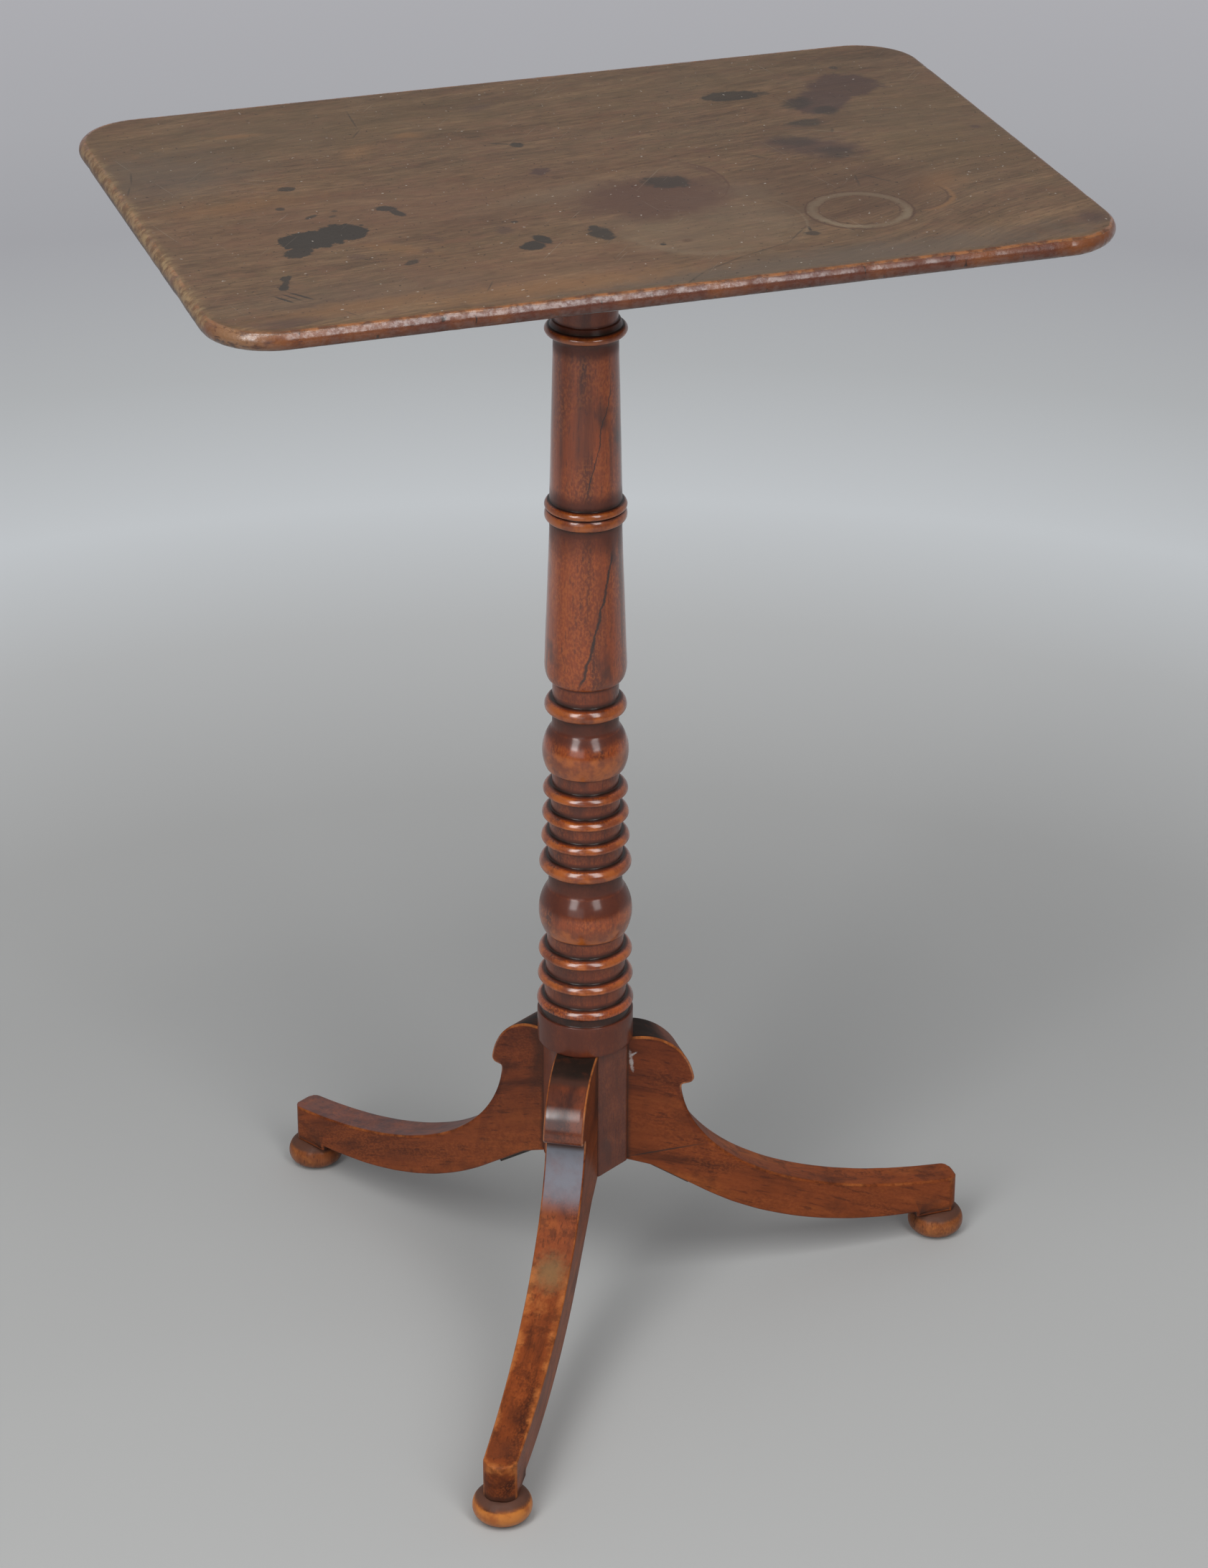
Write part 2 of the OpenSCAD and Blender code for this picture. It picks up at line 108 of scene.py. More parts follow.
@dataclass(frozen=True)
class ColumnSizes:
    """Sizes of the turned column in mm."""

    hub_lift: float = 97.5
    hub_flat: float = 21.91
    hub_corner: float = 25.1
    hub_top: float = 181.2
    base_r: float = 28.0
    base_top: float = 200.4
    cove_r: float = 26.4
    ring_h: float = 5.2
    ring_lip: float = 1.1
    ring_taper: float = 0.5
    neck_taper: float = 0.8
    short_neck: float = 10.4
    big_ring_h: float = 8.3
    big_ring_lip: float = 3.0
    ball_fillet: float = 6.0
    waist_z: float = 402.5
    waist_r: float = 18.9
    waist_h: float = 11.5
    low_shaft_h: float = 97.5
    shoulder_r: float = 20.3
    swell_r: float = 23.4
    swell_h: float = 9.5
    low_shaft_top_r: float = 20.3
    pair_r: float = 23.1
    pair_low_h: float = 6.7
    pair_up_h: float = 4.4
    pair_groove: float = 1.6
    up_shaft_low_r: float = 20.3
    up_shaft_top_r: float = 18.1
    collar_r: float = 22.9
    collar_h: float = 5.0
    band_h: float = 3.2
    cavetto_h: float = 3.3
    neck_r: float = 17.7
    neck_h: float = 47.6
    capital_r: float = 28.0
    capital_h: float = 5.0
    capital_cove: float = 9.0
    block_low: float = 677.0
    low_set: TurnedSet = TurnedSet(
        foot=205.6,
        pitch=16.4,
        ring_r=28.2,
        neck_r=23.9,
        ball_r=27.1,
        ball_cut=11.8,
        ball_rise=28.0,
        top_neck_r=21.3,
        big_ring_r=26.6,
        next_neck_r=21.5,
        first_worn=0.15,
    )
    up_set: TurnedSet = TurnedSet(
        foot=312.3,
        pitch=15.3,
        ring_r=25.4,
        neck_r=20.7,
        ball_r=24.7,
        ball_cut=10.1,
        ball_rise=25.5,
        top_neck_r=19.0,
        big_ring_r=23.5,
        next_neck_r=18.9,
    )


@dataclass(frozen=True)
class LegSizes:
    """Sizes of a leg in mm; distances are from the column's axis."""

    hub_flat: float = 21.91
    hub_lift: float = 97.5
    base_r: float = 28.0
    scroll_r: float = 41.5
    scroll_at: float = 23.5
    scroll_z: float = 139.5
    nose_lift: float = 6.5
    nose_r: float = 3.5
    nose_over: float = 8.0
    knee_thick: float = 24.5
    toe_thick: float = 19.5
    toe_end: float = 239.5
    toe_top: float = 40.5
    toe_round: float = 10.45
    toe_edge: float = 3.0
    instep_pull: float = 121.5
    instep_lift: float = 5.5
    throat_drop: float = 2.5
    throat_reach: float = 5.5
    throat_pull: float = 43.0
    heel_pull: float = 66.0
    pad_len: float = 28.0
    pad_z: float = 17.0
    pad_step: float = 3.5
    spring_run: float = 16.5
    spring_fall: float = 7.5
    seat_slope: float = 36.0
    seat_end: float = 73.0
    seat_pull: float = 34.0


@dataclass(frozen=True)
class FootSizes:
    """Sizes of a bun foot in mm."""

    reach: float = 228.0
    radius: float = 16.97
    height: float = 17.0
    widest: float = 7.8


# Outlines


def arc(x: float, z: float, r: float, start: float, end: float, count: int) -> Array:
    """Points of a circular arc.

    Args:
        x, z: centre of the arc.
        r: its radius.
        start, end: its first and last angle in degrees.
        count: number of points.

    Returns:
        The points (x + r cos a, z + r sin a), one row each.
    """
    a = np.radians(np.linspace(start, end, count))
    return np.stack([x + r * np.cos(a), z + r * np.sin(a)], 1)


def cubic(p: Array, q: Array, r: Array, s: Array, count: int) -> Array:
    """Points of the cubic curve u^3 p + 3 u^2 t q + 3 u t^2 r + t^3 s, with u = 1 - t and t from 0 to 1.

    Args:
        p, s: ends of the curve.
        q, r: points that pull it.
        count: number of points.

    Returns:
        The points, one row each.
    """
    t = np.linspace(0.0, 1.0, count)[:, None]
    u = 1.0 - t
    p, q, r, s = (np.asarray(v, float) for v in (p, q, r, s))
    return u**3 * p + 3 * u**2 * t * q + 3 * u * t**2 * r + t**3 * s


def oval_quarter(r_in: float, r_out: float, z: float, h: float, count: int, hollow: bool = False) -> Array:
    """Points of a quarter oval whose height is z + h sin a, for a from 0 to 90 degrees.

    Args:
        r_in, r_out: inner and outer radius.
        z, h: its foot and its height.
        count: number of points.
        hollow: whether it opens outwards, as r_in + (r_out - r_in)(1 - cos a), or closes inwards, as
            r_in + (r_out - r_in) cos a.

    Returns:
        The points, one row of radius and height each.
    """
    a = np.radians(np.linspace(0.0, 90.0, count))
    share = 1.0 - np.cos(a) if hollow else np.cos(a)
    return np.stack([r_in + (r_out - r_in) * share, z + h * np.sin(a)], 1)


def marked(points: Array, rub: Values = 0.0, grime_and_shade: Values = 0.0, six: Values = 0.0) -> Array:
    """Adds wear to the points of an outline.

    Args:
        points: radius and height, one row each.
        rub, grime: how far the points are rubbed and soiled, one value for all or one each.
        six: their share of the six-sided shape.

    Returns:
        Rows of radius, height, rub, dirt-and-shade darkening and share.
    """
    points = np.asarray(points, float)
    values = [np.broadcast_to(np.asarray(value, float), len(points)) for value in (rub, grime_and_shade, six)]
    return np.column_stack([points, *values])


def lengths(sides: Array) -> Array:
    """Lengths of an outline's sides, from their first two columns."""
    return np.linalg.norm(sides[:, :2], axis=1)


def softened(points: Array, cut: float) -> Array:
    """Rounds each inner corner of an open outline; further columns follow the points.

    A corner P becomes P + d a, (2 P + d a + P + d b + P)/4 and P + d b. Here a and b point to its neighbours,
    and d is cut, or 0.4 of the shorter side where that is less.

    Args:
        points: corners of the outline, one row each.
        cut: length that the rounding takes off each side.

    Returns:
        The rounded outline, three points for each inner corner.
    """
    to_before, to_after = np.roll(points, 1, 0) - points, np.roll(points, -1, 0) - points
    len_before, len_after = lengths(to_before), lengths(to_after)
    d = np.minimum(cut, 0.4 * np.minimum(len_before, len_after))[:, None]
    first = points + d * to_before / np.maximum(len_before, 1e-9)[:, None]
    last = points + d * to_after / np.maximum(len_after, 1e-9)[:, None]
    middle = (first + 2 * points + last) / 4
    inner = np.stack([first, middle, last], 1)[1:-1]
    return np.concatenate([points[:1], inner.reshape(-1, points.shape[1]), points[-1:]])


def subdivided(points: Array, step: float) -> Array:
    """Adds points along an open outline so that none of its sides is longer than step.

    Args:
        points: corners of the outline, one row each.
        step: length of the longest side that is left.

    Returns:
        The outline with its added points.
    """
    counts = np.maximum(1, np.ceil(lengths(np.diff(points, axis=0)) / step).astype(int))
    index = np.repeat(np.arange(len(counts)), counts)
    share = (np.arange(counts.sum()) - np.repeat(np.cumsum(counts) - counts, counts)) / counts[index]
    inner = points[index] + share[:, None] * (points[index + 1] - points[index])
    return np.concatenate([inner, points[-1:]])


def without_doubles(points: Array) -> Array:
    """Drops each point that repeats the one before it."""
    return points[np.concatenate([[True], lengths(np.diff(points, axis=0)) > 1e-6])]


def smooth_step(value: Array, low: float, high: float) -> Array:
    """0 at low, 1 at high and 3 t^2 - 2 t^3 between, with t the share of the way, which may lead down."""
    t = np.clip((value - low) / (high - low), 0.0, 1.0)
    return t * t * (3.0 - 2.0 * t)


def waver(angle: Array, along: Array, seed: int, size: float) -> Array:
    """Slow unevenness of hand work: a sum of six sine waves of random direction and phase.

    Args:
        angle: place round the piece, in radians.
        along: place along it, in mm.
        seed: seed of the random draws.
        size: about the largest value.

    Returns:
        One value for each place.
    """
    rng = np.random.default_rng(seed)
    turns = rng.integers(1, 7, 6)
    pitch = rng.uniform(0.01, 0.12, 6)
    phase = rng.uniform(0.0, 2 * math.pi, 6)
    waves = np.sin(turns * angle[..., None] + pitch * along[..., None] + phase)
    return size * waves.sum(-1) / 3.0


# Meshes


def put_mesh(
    name: str, points: Array, faces: list[list[int]], smooth: Array, masks: dict[Surface, Array]
) -> bpy.types.Object:
    """Makes an object at the origin from points in mm.

    Args:
        name: name of the piece.
        points: one row of x, y, z for each vertex.
        faces: vertex numbers of each face, outwards by the right-hand rule.
        smooth: for each face, whether it is shaded smooth.
        masks: values per vertex, one number or one row of three each.

    Returns:
        The new object, linked to the scene.
    """
    mesh = bpy.data.meshes.new(name)
    mesh.from_pydata((points * MM).tolist(), [], faces)
    mesh.polygons.foreach_set("use_smooth", smooth)
    for surface, values in masks.items():
        kind = "FLOAT_VECTOR" if values.ndim == 2 else "FLOAT"
        layer = mesh.attributes.new(surface.value, kind, "POINT")
        layer.data.foreach_set("vector" if values.ndim == 2 else "value", values.astype(np.float32).ravel())
    mesh.validate()
    mesh.update()
    piece = bpy.data.objects.new(name, mesh)
    bpy.context.scene.collection.objects.link(piece)
    return piece


def strip_faces(rows: int, columns: int) -> Array:
    """Four-sided faces between neighbouring rows of a grid that closes on itself and is numbered row by row.

    Args:
        rows: number of rows.
        columns: points in a row, the last of which is next to the first.

    Returns:
        Four vertex numbers for each face.
    """
    row, column = np.meshgrid(np.arange(rows - 1), np.arange(columns), indexing="ij")
    here, after = row * columns + column, row * columns + (column + 1) % columns
    return np.stack([here, after, after + columns, here + columns], -1).reshape(-1, 4)


def end_faces(rows: int, columns: int) -> list[list[int]]:
    """The faces that close a grid of points, numbered row by row, at its first and its last row."""
    return [list(range(columns))[::-1], list(range((rows - 1) * columns, rows * columns))]


def dress(piece: bpy.types.Object, material: bpy.types.Material, slot: str, *nodes: str) -> bpy.types.Object:
    """Gives a piece its material and body, and hides the CAD nodes that it stands for.

    Args:
        piece: the new mesh object.
        material: its material.
        slot: not used.
        nodes: CAD nodes that the piece replaces.

    Returns:
        The piece.
    """
    piece.data.materials.append(material)
    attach(piece, "root")
    if nodes:
        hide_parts(*nodes)
    LOG.info("%s: %d faces", piece.name, len(piece.data.polygons))
    return piece


def lathe(
    name: str, r: Array, z: Array, centre: Array, masks: dict[Surface, Array], flat: Array | None = None
) -> bpy.types.Object:
    """Turns an outline about a vertical axis.

    The point of row i and angle a goes to (cx + r cos a, cy + r sin a, z). Flat faces close both ends.

    Args:
        name: name of the piece.
        r: radius for each row and each of the equal angles.
        z: height of each row.
        centre: x and y of the axis.
        masks: one value for each row, or for each row and angle.
        flat: rows whose faces are shaded flat.

    Returns:
        The new object.
    """
    rows, spokes = r.shape
    angle = np.linspace(0.0, 2 * math.pi, spokes, endpoint=False)[None, :]
    x, y = centre[0] + r * np.cos(angle), centre[1] + r * np.sin(angle)
    points = np.stack([x, y, np.broadcast_to(z[:, None], r.shape)], -1).reshape(-1, 3)
    quads = strip_faces(rows, spokes).tolist()
    smooth = np.ones(len(quads) + 2, bool)
    smooth[-2:] = False
    if flat is not None:
        smooth[:-2] = ~np.repeat(flat[:-1], spokes)
    spread = {key: (np.repeat(v, spokes) if v.ndim == 1 else v.ravel()) for key, v in masks.items()}
    spread[Surface.GRAIN] = np.stack([points[:, 2], points[:, 0], points[:, 1]], 1) * MM
    return put_mesh(name, points, quads + end_faces(rows, spokes), smooth, spread)


# Node building


class Graph:
    """A node tree with short ways to add nodes and join them."""

    def __init__(self, tree: bpy.types.NodeTree) -> None:
        """Wraps a node tree."""
        self.nodes = tree.nodes
        self.links = tree.links

    def add(self, kind: str, inputs: dict | None = None, **settings: object) -> bpy.types.Node:
        """Adds a node.

        Args:
            kind: Blender's name of the node's type.
            inputs: for each input's name or number, a value or another node's output.
            settings: properties of the node.

        Returns:
            The new node.
        """
        node = self.nodes.new(kind)
        for key, value in settings.items():
            setattr(node, key, value)
        for key, value in (inputs or {}).items():
            socket = node.inputs[key]
            if isinstance(value, Socket):
                self.links.new(value, socket)
            elif isinstance(value, tuple) and socket.type == "RGBA":
                socket.default_value = (*value, 1.0)
            else:
                socket.default_value = value
        return node

    def math(self, operation: str, *values: Value) -> Socket:
        """Adds a Math node and returns its output."""
        return self.add("ShaderNodeMath", dict(enumerate(values)), operation=operation).outputs[0]

    def times(self, *factors: Value) -> Socket:
        """Multiplies numbers, one after another."""
        return reduce(partial(self.math, "MULTIPLY"), factors)

    def plus(self, *terms: Value) -> Socket:
        """Adds numbers, one after another."""
        return reduce(partial(self.math, "ADD"), terms)

    def most(self, *values: Value) -> Socket:
        """The largest of the numbers."""
        return reduce(partial(self.math, "MAXIMUM"), values)

    def minus(self, first: Value, second: Value) -> Socket:
        """The first number less the second."""
        return self.math("SUBTRACT", first, second)

    def inverse(self, value: Value) -> Socket:
        """1 less the value."""
        return self.minus(1.0, value)

    def centred(self, value: Value, size: Value) -> Socket:
        """The value less a half, times size."""
        return self.times(self.minus(value, 0.5), size)

    def ramp(self, value: Value, low: Value, high: Value) -> Socket:
        """Maps low..high to 0..1 with a smooth start and end."""
        inputs = {"Value": value, "From Min": low, "From Max": high}
        return self.add("ShaderNodeMapRange", inputs, interpolation_type="SMOOTHSTEP").outputs[0]

    def band(self, value: Value, low: float, rise: float, fall: float, high: float) -> Socket:
        """1 between rise and fall, 0 below low and above high, smooth between."""
        return self.times(self.ramp(value, low, rise), self.inverse(self.ramp(value, fall, high)))

    def lerp(self, share: Value, first: Value, second: Value) -> Socket:
        """Mixes two numbers."""
        return self.add("ShaderNodeMapRange", {"Value": share, "To Min": first, "To Max": second}).outputs[0]

    def mix(self, share: Value, first: Tone, second: Tone, blend: str = "MIX") -> Socket:
        """Mixes two colours."""
        inputs = {0: share, 6: first, 7: second}
        return self.add("ShaderNodeMix", inputs, data_type="RGBA", blend_type=blend).outputs[2]

    def noise(self, vector: Socket, scale: Value, detail: float = 3.0, rough: float = 0.5) -> Socket:
        """Adds a Noise Texture and returns its value."""
        inputs = {"Vector": vector, "Scale": scale, "Detail": detail, "Roughness": rough}
        return self.add("ShaderNodeTexNoise", inputs).outputs[0]

    def vector(self, operation: str, *values: Tone) -> Socket:
        """Adds a Vector Math node and returns its output, a number for a length or a dot product."""
        node = self.add("ShaderNodeVectorMath", dict(enumerate(values)), operation=operation)
        return node.outputs[1 if operation in ("LENGTH", "DOT_PRODUCT") else 0]

    def stretched(self, vector: Socket, *factors: float) -> Socket:
        """Multiplies a vector's three numbers by three factors."""
        return self.vector("MULTIPLY", vector, factors)

    def turned(self, vector: Socket, angle: Value) -> Socket:
        """Turns a vector about Z."""
        inputs = {"Vector": vector, "Angle": angle}
        return self.add("ShaderNodeVectorRotate", inputs, rotation_type="Z_AXIS").outputs[0]

    def joined(self, x: Value = 0.0, y: Value = 0.0, z: Value = 0.0) -> Socket:
        """Joins three numbers to a vector."""
        return self.add("ShaderNodeCombineXYZ", {0: x, 1: y, 2: z}).outputs[0]

    def parted(self, vector: Socket) -> tuple[Socket, Socket, Socket]:
        """Parts a vector into its three numbers."""
        return tuple(self.add("ShaderNodeSeparateXYZ", {0: vector}).outputs)

    def place(self) -> Socket:
        """The object coordinates."""
        return self.add("ShaderNodeTexCoord").outputs["Object"]

    def mask(self, surface: Surface, output: str = "Fac") -> Socket:
        """Reads one of the pieces' own masks."""
        kind = "ShaderNodeAttribute"
        return self.add(kind, attribute_name=surface.value, attribute_type="GEOMETRY").outputs[output]


class SharedGroup:
    """A node group that several materials use, with named inputs and outputs."""

    def __init__(self, name: str, inputs: dict[str, object], outputs: dict[str, str]) -> None:
        """Makes the empty group.

        Args:
            name: name of the group.
            inputs: default of each input; its kind follows from the default.
            outputs: kind of each output, Float or Color.
        """
        self.tree = bpy.data.node_groups.new(name, "ShaderNodeTree")
        self.graph = Graph(self.tree)
        kinds = {type(None): "Vector", tuple: "Color", float: "Float"}
        for key, value in inputs.items():
            kind = f"NodeSocket{kinds[type(value)]}"
            socket = self.tree.interface.new_socket(name=key, in_out="INPUT", socket_type=kind)
            if value is not None:
                socket.default_value = (*value, 1.0) if isinstance(value, tuple) else value
        for key, kind in outputs.items():
            self.tree.interface.new_socket(name=key, in_out="OUTPUT", socket_type=f"NodeSocket{kind}")
        self.source = self.graph.nodes.new("NodeGroupInput").outputs
        self.sink = self.graph.nodes.new("NodeGroupOutput").inputs

    def give(self, **results: Socket) -> None:
        """Joins results to the group's outputs by name."""
        for key, socket in results.items():
            self.graph.links.new(socket, self.sink[key])

    def place(self, g: Graph, inputs: dict[str, object]) -> bpy.types.NodeOutputs:
        """Places the group in a material's graph with its own values, and returns its outputs."""
        return g.add("ShaderNodeGroup", inputs, node_tree=self.tree).outputs


def grain_group() -> SharedGroup:
    """Mahogany grain: X of the vector runs along the fibres.

    Stretched noises give the broad stripes, the fine fibres and the short dark pores. The stripes lead from
    the dark to the light colour, the fibres lighten and darken them, and the pores are cut in.

    Returns:
        The group, which puts out the colour and the relief.
    """
    group = SharedGroup(
        "mahogany_grain",
        {
            "Vector": None,
            "Dark": (0.1, 0.03, 0.015),
            "Middle": (0.2, 0.06, 0.03),
            "Light": (0.3, 0.1, 0.05),
            "Stripe Scale": 60.0,
            "Stretch": 0.06,
            "Fibre": 0.35,
            "Pore": 0.5,
        },
        {"Color": "Color", "Height": "Float"},
    )
    g, source = group.graph, group.source
    along = g.vector("MULTIPLY", source["Vector"], g.joined(source["Stretch"], 1.0, 1.0))
    sway = g.centred(g.noise(g.stretched(source["Vector"], 0.35, 1.0, 1.0), 9.0, 2.0), 0.03)
    swayed = g.vector("ADD", along, g.joined(0.0, sway, sway))
    stripes = g.noise(swayed, source["Stripe Scale"], 6.0, 0.62)
    fibres = g.noise(swayed, g.times(source["Stripe Scale"], 9.0), 3.0, 0.6)
    pore_vector = g.stretched(source["Vector"], 0.12, 1.0, 1.0)
    pore_noise = g.noise(pore_vector, g.times(source["Stripe Scale"], 16.0), 1.0, 0.4)
    pores = g.times(g.ramp(pore_noise, 0.6, 0.72), source["Pore"])
    low = g.mix(g.ramp(stripes, 0.3, 0.5), source["Dark"], source["Middle"])
    base = g.mix(g.ramp(stripes, 0.5, 0.7), low, source["Light"])
    factor = g.plus(g.times(g.centred(fibres, 2.0), source["Fibre"]), 1.0)
    color = g.mix(pores, g.mix(1.0, base, g.joined(factor, factor, factor), "MULTIPLY"), source["Dark"])
    group.give(Color=color, Height=g.minus(g.times(fibres, 0.35), pores))
    return group


def fleck_group() -> SharedGroup:
    """Short lively flecks of turned mahogany, gathered in patches, with dark clouds and streaks between.

    Returns:
        The group, which puts out the colour.
    """
    group = SharedGroup(
        "mahogany_fleck",
        {
            "Vector": None,
            "Color": (0.2, 0.06, 0.03),
            "Fleck Color": (0.33, 0.1, 0.04),
            "Cloud Color": (0.05, 0.016, 0.01),
            "Fleck": 0.6,
            "Cloud": 0.6,
        },
        {"Color": "Color"},
    )
    g, source = group.graph, group.source
    short = g.noise(g.stretched(source["Vector"], 0.55, 1.0, 1.0), 880.0, 2.0, 0.55)
    gathered = g.ramp(g.noise(g.stretched(source["Vector"], 0.5, 1.0, 1.0), 42.0, 2.0), 0.36, 0.6)
    fleck = g.times(g.ramp(short, 0.46, 0.6), gathered, source["Fleck"])
    between = g.times(g.inverse(g.ramp(short, 0.34, 0.47)), g.times(source["Fleck"], 0.35))
    color = g.mix(fleck, g.mix(between, source["Color"], source["Cloud Color"]), source["Fleck Color"])
    cloud = g.ramp(g.noise(g.stretched(source["Vector"], 0.55, 1.0, 1.0), 52.0, 3.0, 0.55), 0.56, 0.7)
    streak = g.ramp(g.noise(g.stretched(source["Vector"], 0.06, 1.0, 1.0), 150.0, 3.0, 0.6), 0.6, 0.72)
    dark = g.times(g.most(cloud, g.times(streak, 0.75)), source["Cloud"])
    group.give(Color=g.mix(dark, color, source["Cloud Color"]))
    return group


def wear_group() -> SharedGroup:
    """Rubbed edges, and darkening by dirt and painted shade.

    The rub mask bares the rubbed colour. The darkening mask lays the dull colour of dirt on and, from three
    quarters up, the near-black one: dirt and painted shade in the creases. A noise frays both.

    Returns:
        The group, which puts out the colour and the mask of the dull darkening.
    """
    group = SharedGroup(
        "rub_and_grime",
        {
            "Vector": None,
            "Color": (0.2, 0.1, 0.05),
            "Rub": 0.0,
            "Grime": 0.0,
            "Rubbed Color": (0.45, 0.16, 0.05),
            "Rubbed Dark": (0.2, 0.06, 0.03),
            "Grime Color": (0.09, 0.04, 0.03),
            "Deep Color": (0.012, 0.008, 0.006),
            "Rub Amount": 0.8,
            "Grime Amount": 0.8,
            "Patch Scale": 60.0,
        },
        {"Color": "Color", "Grimed": "Float"},
    )
    g, source = group.graph, group.source
    patch = g.noise(source["Vector"], source["Patch Scale"], 4.0, 0.6)
    fray = g.noise(source["Vector"], g.times(source["Patch Scale"], 5.0), 3.0, 0.6)
    rub_raw = g.plus(source["Rub"], g.plus(g.centred(patch, 0.7), g.centred(fray, 0.5)))
    rubbed = g.times(g.ramp(rub_raw, 0.3, 0.8), source["Rub Amount"], g.ramp(source["Rub"], 0.02, 0.3))
    bare = g.mix(g.ramp(patch, 0.38, 0.6), source["Rubbed Dark"], source["Rubbed Color"])
    dirt_raw = g.plus(source["Grime"], g.plus(g.centred(patch, -0.3), g.centred(fray, 0.15)))
    grimed = g.times(g.ramp(dirt_raw, 0.12, 0.6), source["Grime Amount"])
    deep = g.times(g.ramp(dirt_raw, 0.62, 1.0), source["Grime Amount"])
    dull = g.mix(grimed, g.mix(rubbed, source["Color"], bare), source["Grime Color"])
    group.give(Color=g.mix(deep, dull, source["Deep Color"]), Grimed=grimed)
    return group


def spot_group() -> SharedGroup:
    """One mark in a plane.

    With (u, v) the place along and across the mark's own axes, divided by its half-sizes, and n the fray that
    is handed in, the mask falls from 1 to 0 as sqrt(u^2 + v^2) + n goes from 1 - soft to 1 + soft.

    Returns:
        The group, which puts out the mask.
    """
    inputs = {"Vector": None, "X": 0.0, "Y": 0.0, "Turn": 0.0}
    inputs |= {"Half Length": 0.01, "Half Width": 0.01, "Fray": 0.0, "Soft": 0.3}
    group = SharedGroup("stain_spot", inputs, {"Mask": "Float"})
    g, source = group.graph, group.source
    centre = g.joined(source["X"], source["Y"])
    away = g.vector("SUBTRACT", g.stretched(source["Vector"], 1.0, 1.0, 0.0), centre)
    halves = g.joined(source["Half Length"], source["Half Width"], 1.0)
    distance = g.vector("LENGTH", g.vector("DIVIDE", g.turned(away, source["Turn"]), halves))
    frayed, soft = g.plus(distance, source["Fray"]), source["Soft"]
    group.give(Mask=g.inverse(g.ramp(frayed, g.minus(1.0, soft), g.plus(1.0, soft))))
    return group


def arc_group() -> SharedGroup:
    """One arc in a plane: a line at a given distance from a centre, strongest towards one direction.

    The mask falls from 1 to 0 as the distance from the circle goes from 0 to the width, and fades where the
    cosine of the angle from that direction falls below the reach.

    Returns:
        The group, which puts out the mask.
    """
    inputs = {"Vector": None, "X": 0.0, "Y": 0.0, "Radius": 0.02, "Width": 0.001}
    inputs |= {"Toward": 0.0, "Reach": -1.0, "Fray": 0.0}
    group = SharedGroup("ring_mark", inputs, {"Mask": "Float"})
    g, source = group.graph, group.source
    centre = g.joined(source["X"], source["Y"])
    away = g.vector("SUBTRACT", g.stretched(source["Vector"], 1.0, 1.0, 0.0), centre)
    frayed = g.plus(g.vector("LENGTH", away), g.times(source["Fray"], source["Width"]))
    gap = g.math("ABSOLUTE", g.minus(frayed, source["Radius"]))
    line = g.inverse(g.ramp(gap, 0.0, source["Width"]))
    toward = g.joined(g.math("COSINE", source["Toward"]), g.math("SINE", source["Toward"]))
    facing = g.vector("DOT_PRODUCT", g.vector("NORMALIZE", away), toward)
    reached = g.ramp(facing, g.minus(source["Reach"], 0.25), g.plus(source["Reach"], 0.25))
    group.give(Mask=g.times(line, reached))
    return group


# Finishes


class Tint(Enum):
    """Colours of the marks on the board."""

    OLIVE = (0.1, 0.067, 0.034)
    GREY = (0.09, 0.068, 0.05)
    REDDISH = (0.13, 0.063, 0.036)
    PALE = (0.175, 0.13, 0.083)
    ORANGE = (0.2, 0.098, 0.04)
    BROWN = (0.07, 0.036, 0.021)
    RED = (0.078, 0.038, 0.025)
    MAUVE = (0.052, 0.028, 0.024)
    INK = (0.026, 0.022, 0.018)
    MOSS = (0.2, 0.13, 0.055)
    GLUE = (0.5, 0.49, 0.47)


@dataclass(frozen=True)
class Stain:
    """A mark in a plane, in mm and degrees; soft and fray say how far its rim fades and wanders."""

    x: float
    y: float
    half_length: float
    half_width: float
    turn: float = 0.0
    strength: float = 0.9
    soft: float = 0.18
    fray: float = 0.9
    fine: bool = True
    tint: Tint = Tint.INK

    def mask(self, g: Graph, groups: Groups, place: Socket, fray: Socket) -> Socket:
        """Places the mark.

        Args:
            g: the material's graph.
            groups: the shared groups.
            place: coordinates whose X and Y span the mark's plane.
            fray: noise that frays its rim.

        Returns:
            Its mask, weakened to its strength.
        """
        inputs = {"Vector": place, "X": self.x * MM, "Y": self.y * MM, "Turn": -math.radians(self.turn)}
        inputs |= {"Half Length": self.half_length * MM, "Half Width": self.half_width * MM}
        inputs |= {"Soft": self.soft, "Fray": g.times(fray, self.fray)}
        return g.times(groups["spot"].place(g, inputs)["Mask"], self.strength)


@dataclass(frozen=True)
class RingMark:
    """An arc in a plane, in mm and degrees; spread is how far it reaches to both sides of its direction."""

    x: float
    y: float
    radius: float
    width: float
    toward: float = 0.0
    spread: float = 180.0
    strength: float = 0.45
    tint: Tint = Tint.BROWN
    fray: float = 0.9
    fine: bool = True

    def mask(self, g: Graph, groups: Groups, place: Socket, fray: Socket) -> Socket:
        """Places the arc.

        Args:
            g: the material's graph.
            groups: the shared groups.
            place: coordinates whose X and Y span the arc's plane.
            fray: noise that frays its line.

        Returns:
            Its mask, weakened to its strength.
        """
        inputs = {"Vector": place, "X": self.x * MM, "Y": self.y * MM, "Toward": math.radians(self.toward)}
        inputs |= {"Radius": self.radius * MM, "Width": self.width * MM}
        inputs |= {"Reach": math.cos(math.radians(self.spread)), "Fray": g.times(fray, self.fray)}
        return g.times(groups["arc"].place(g, inputs)["Mask"], self.strength)


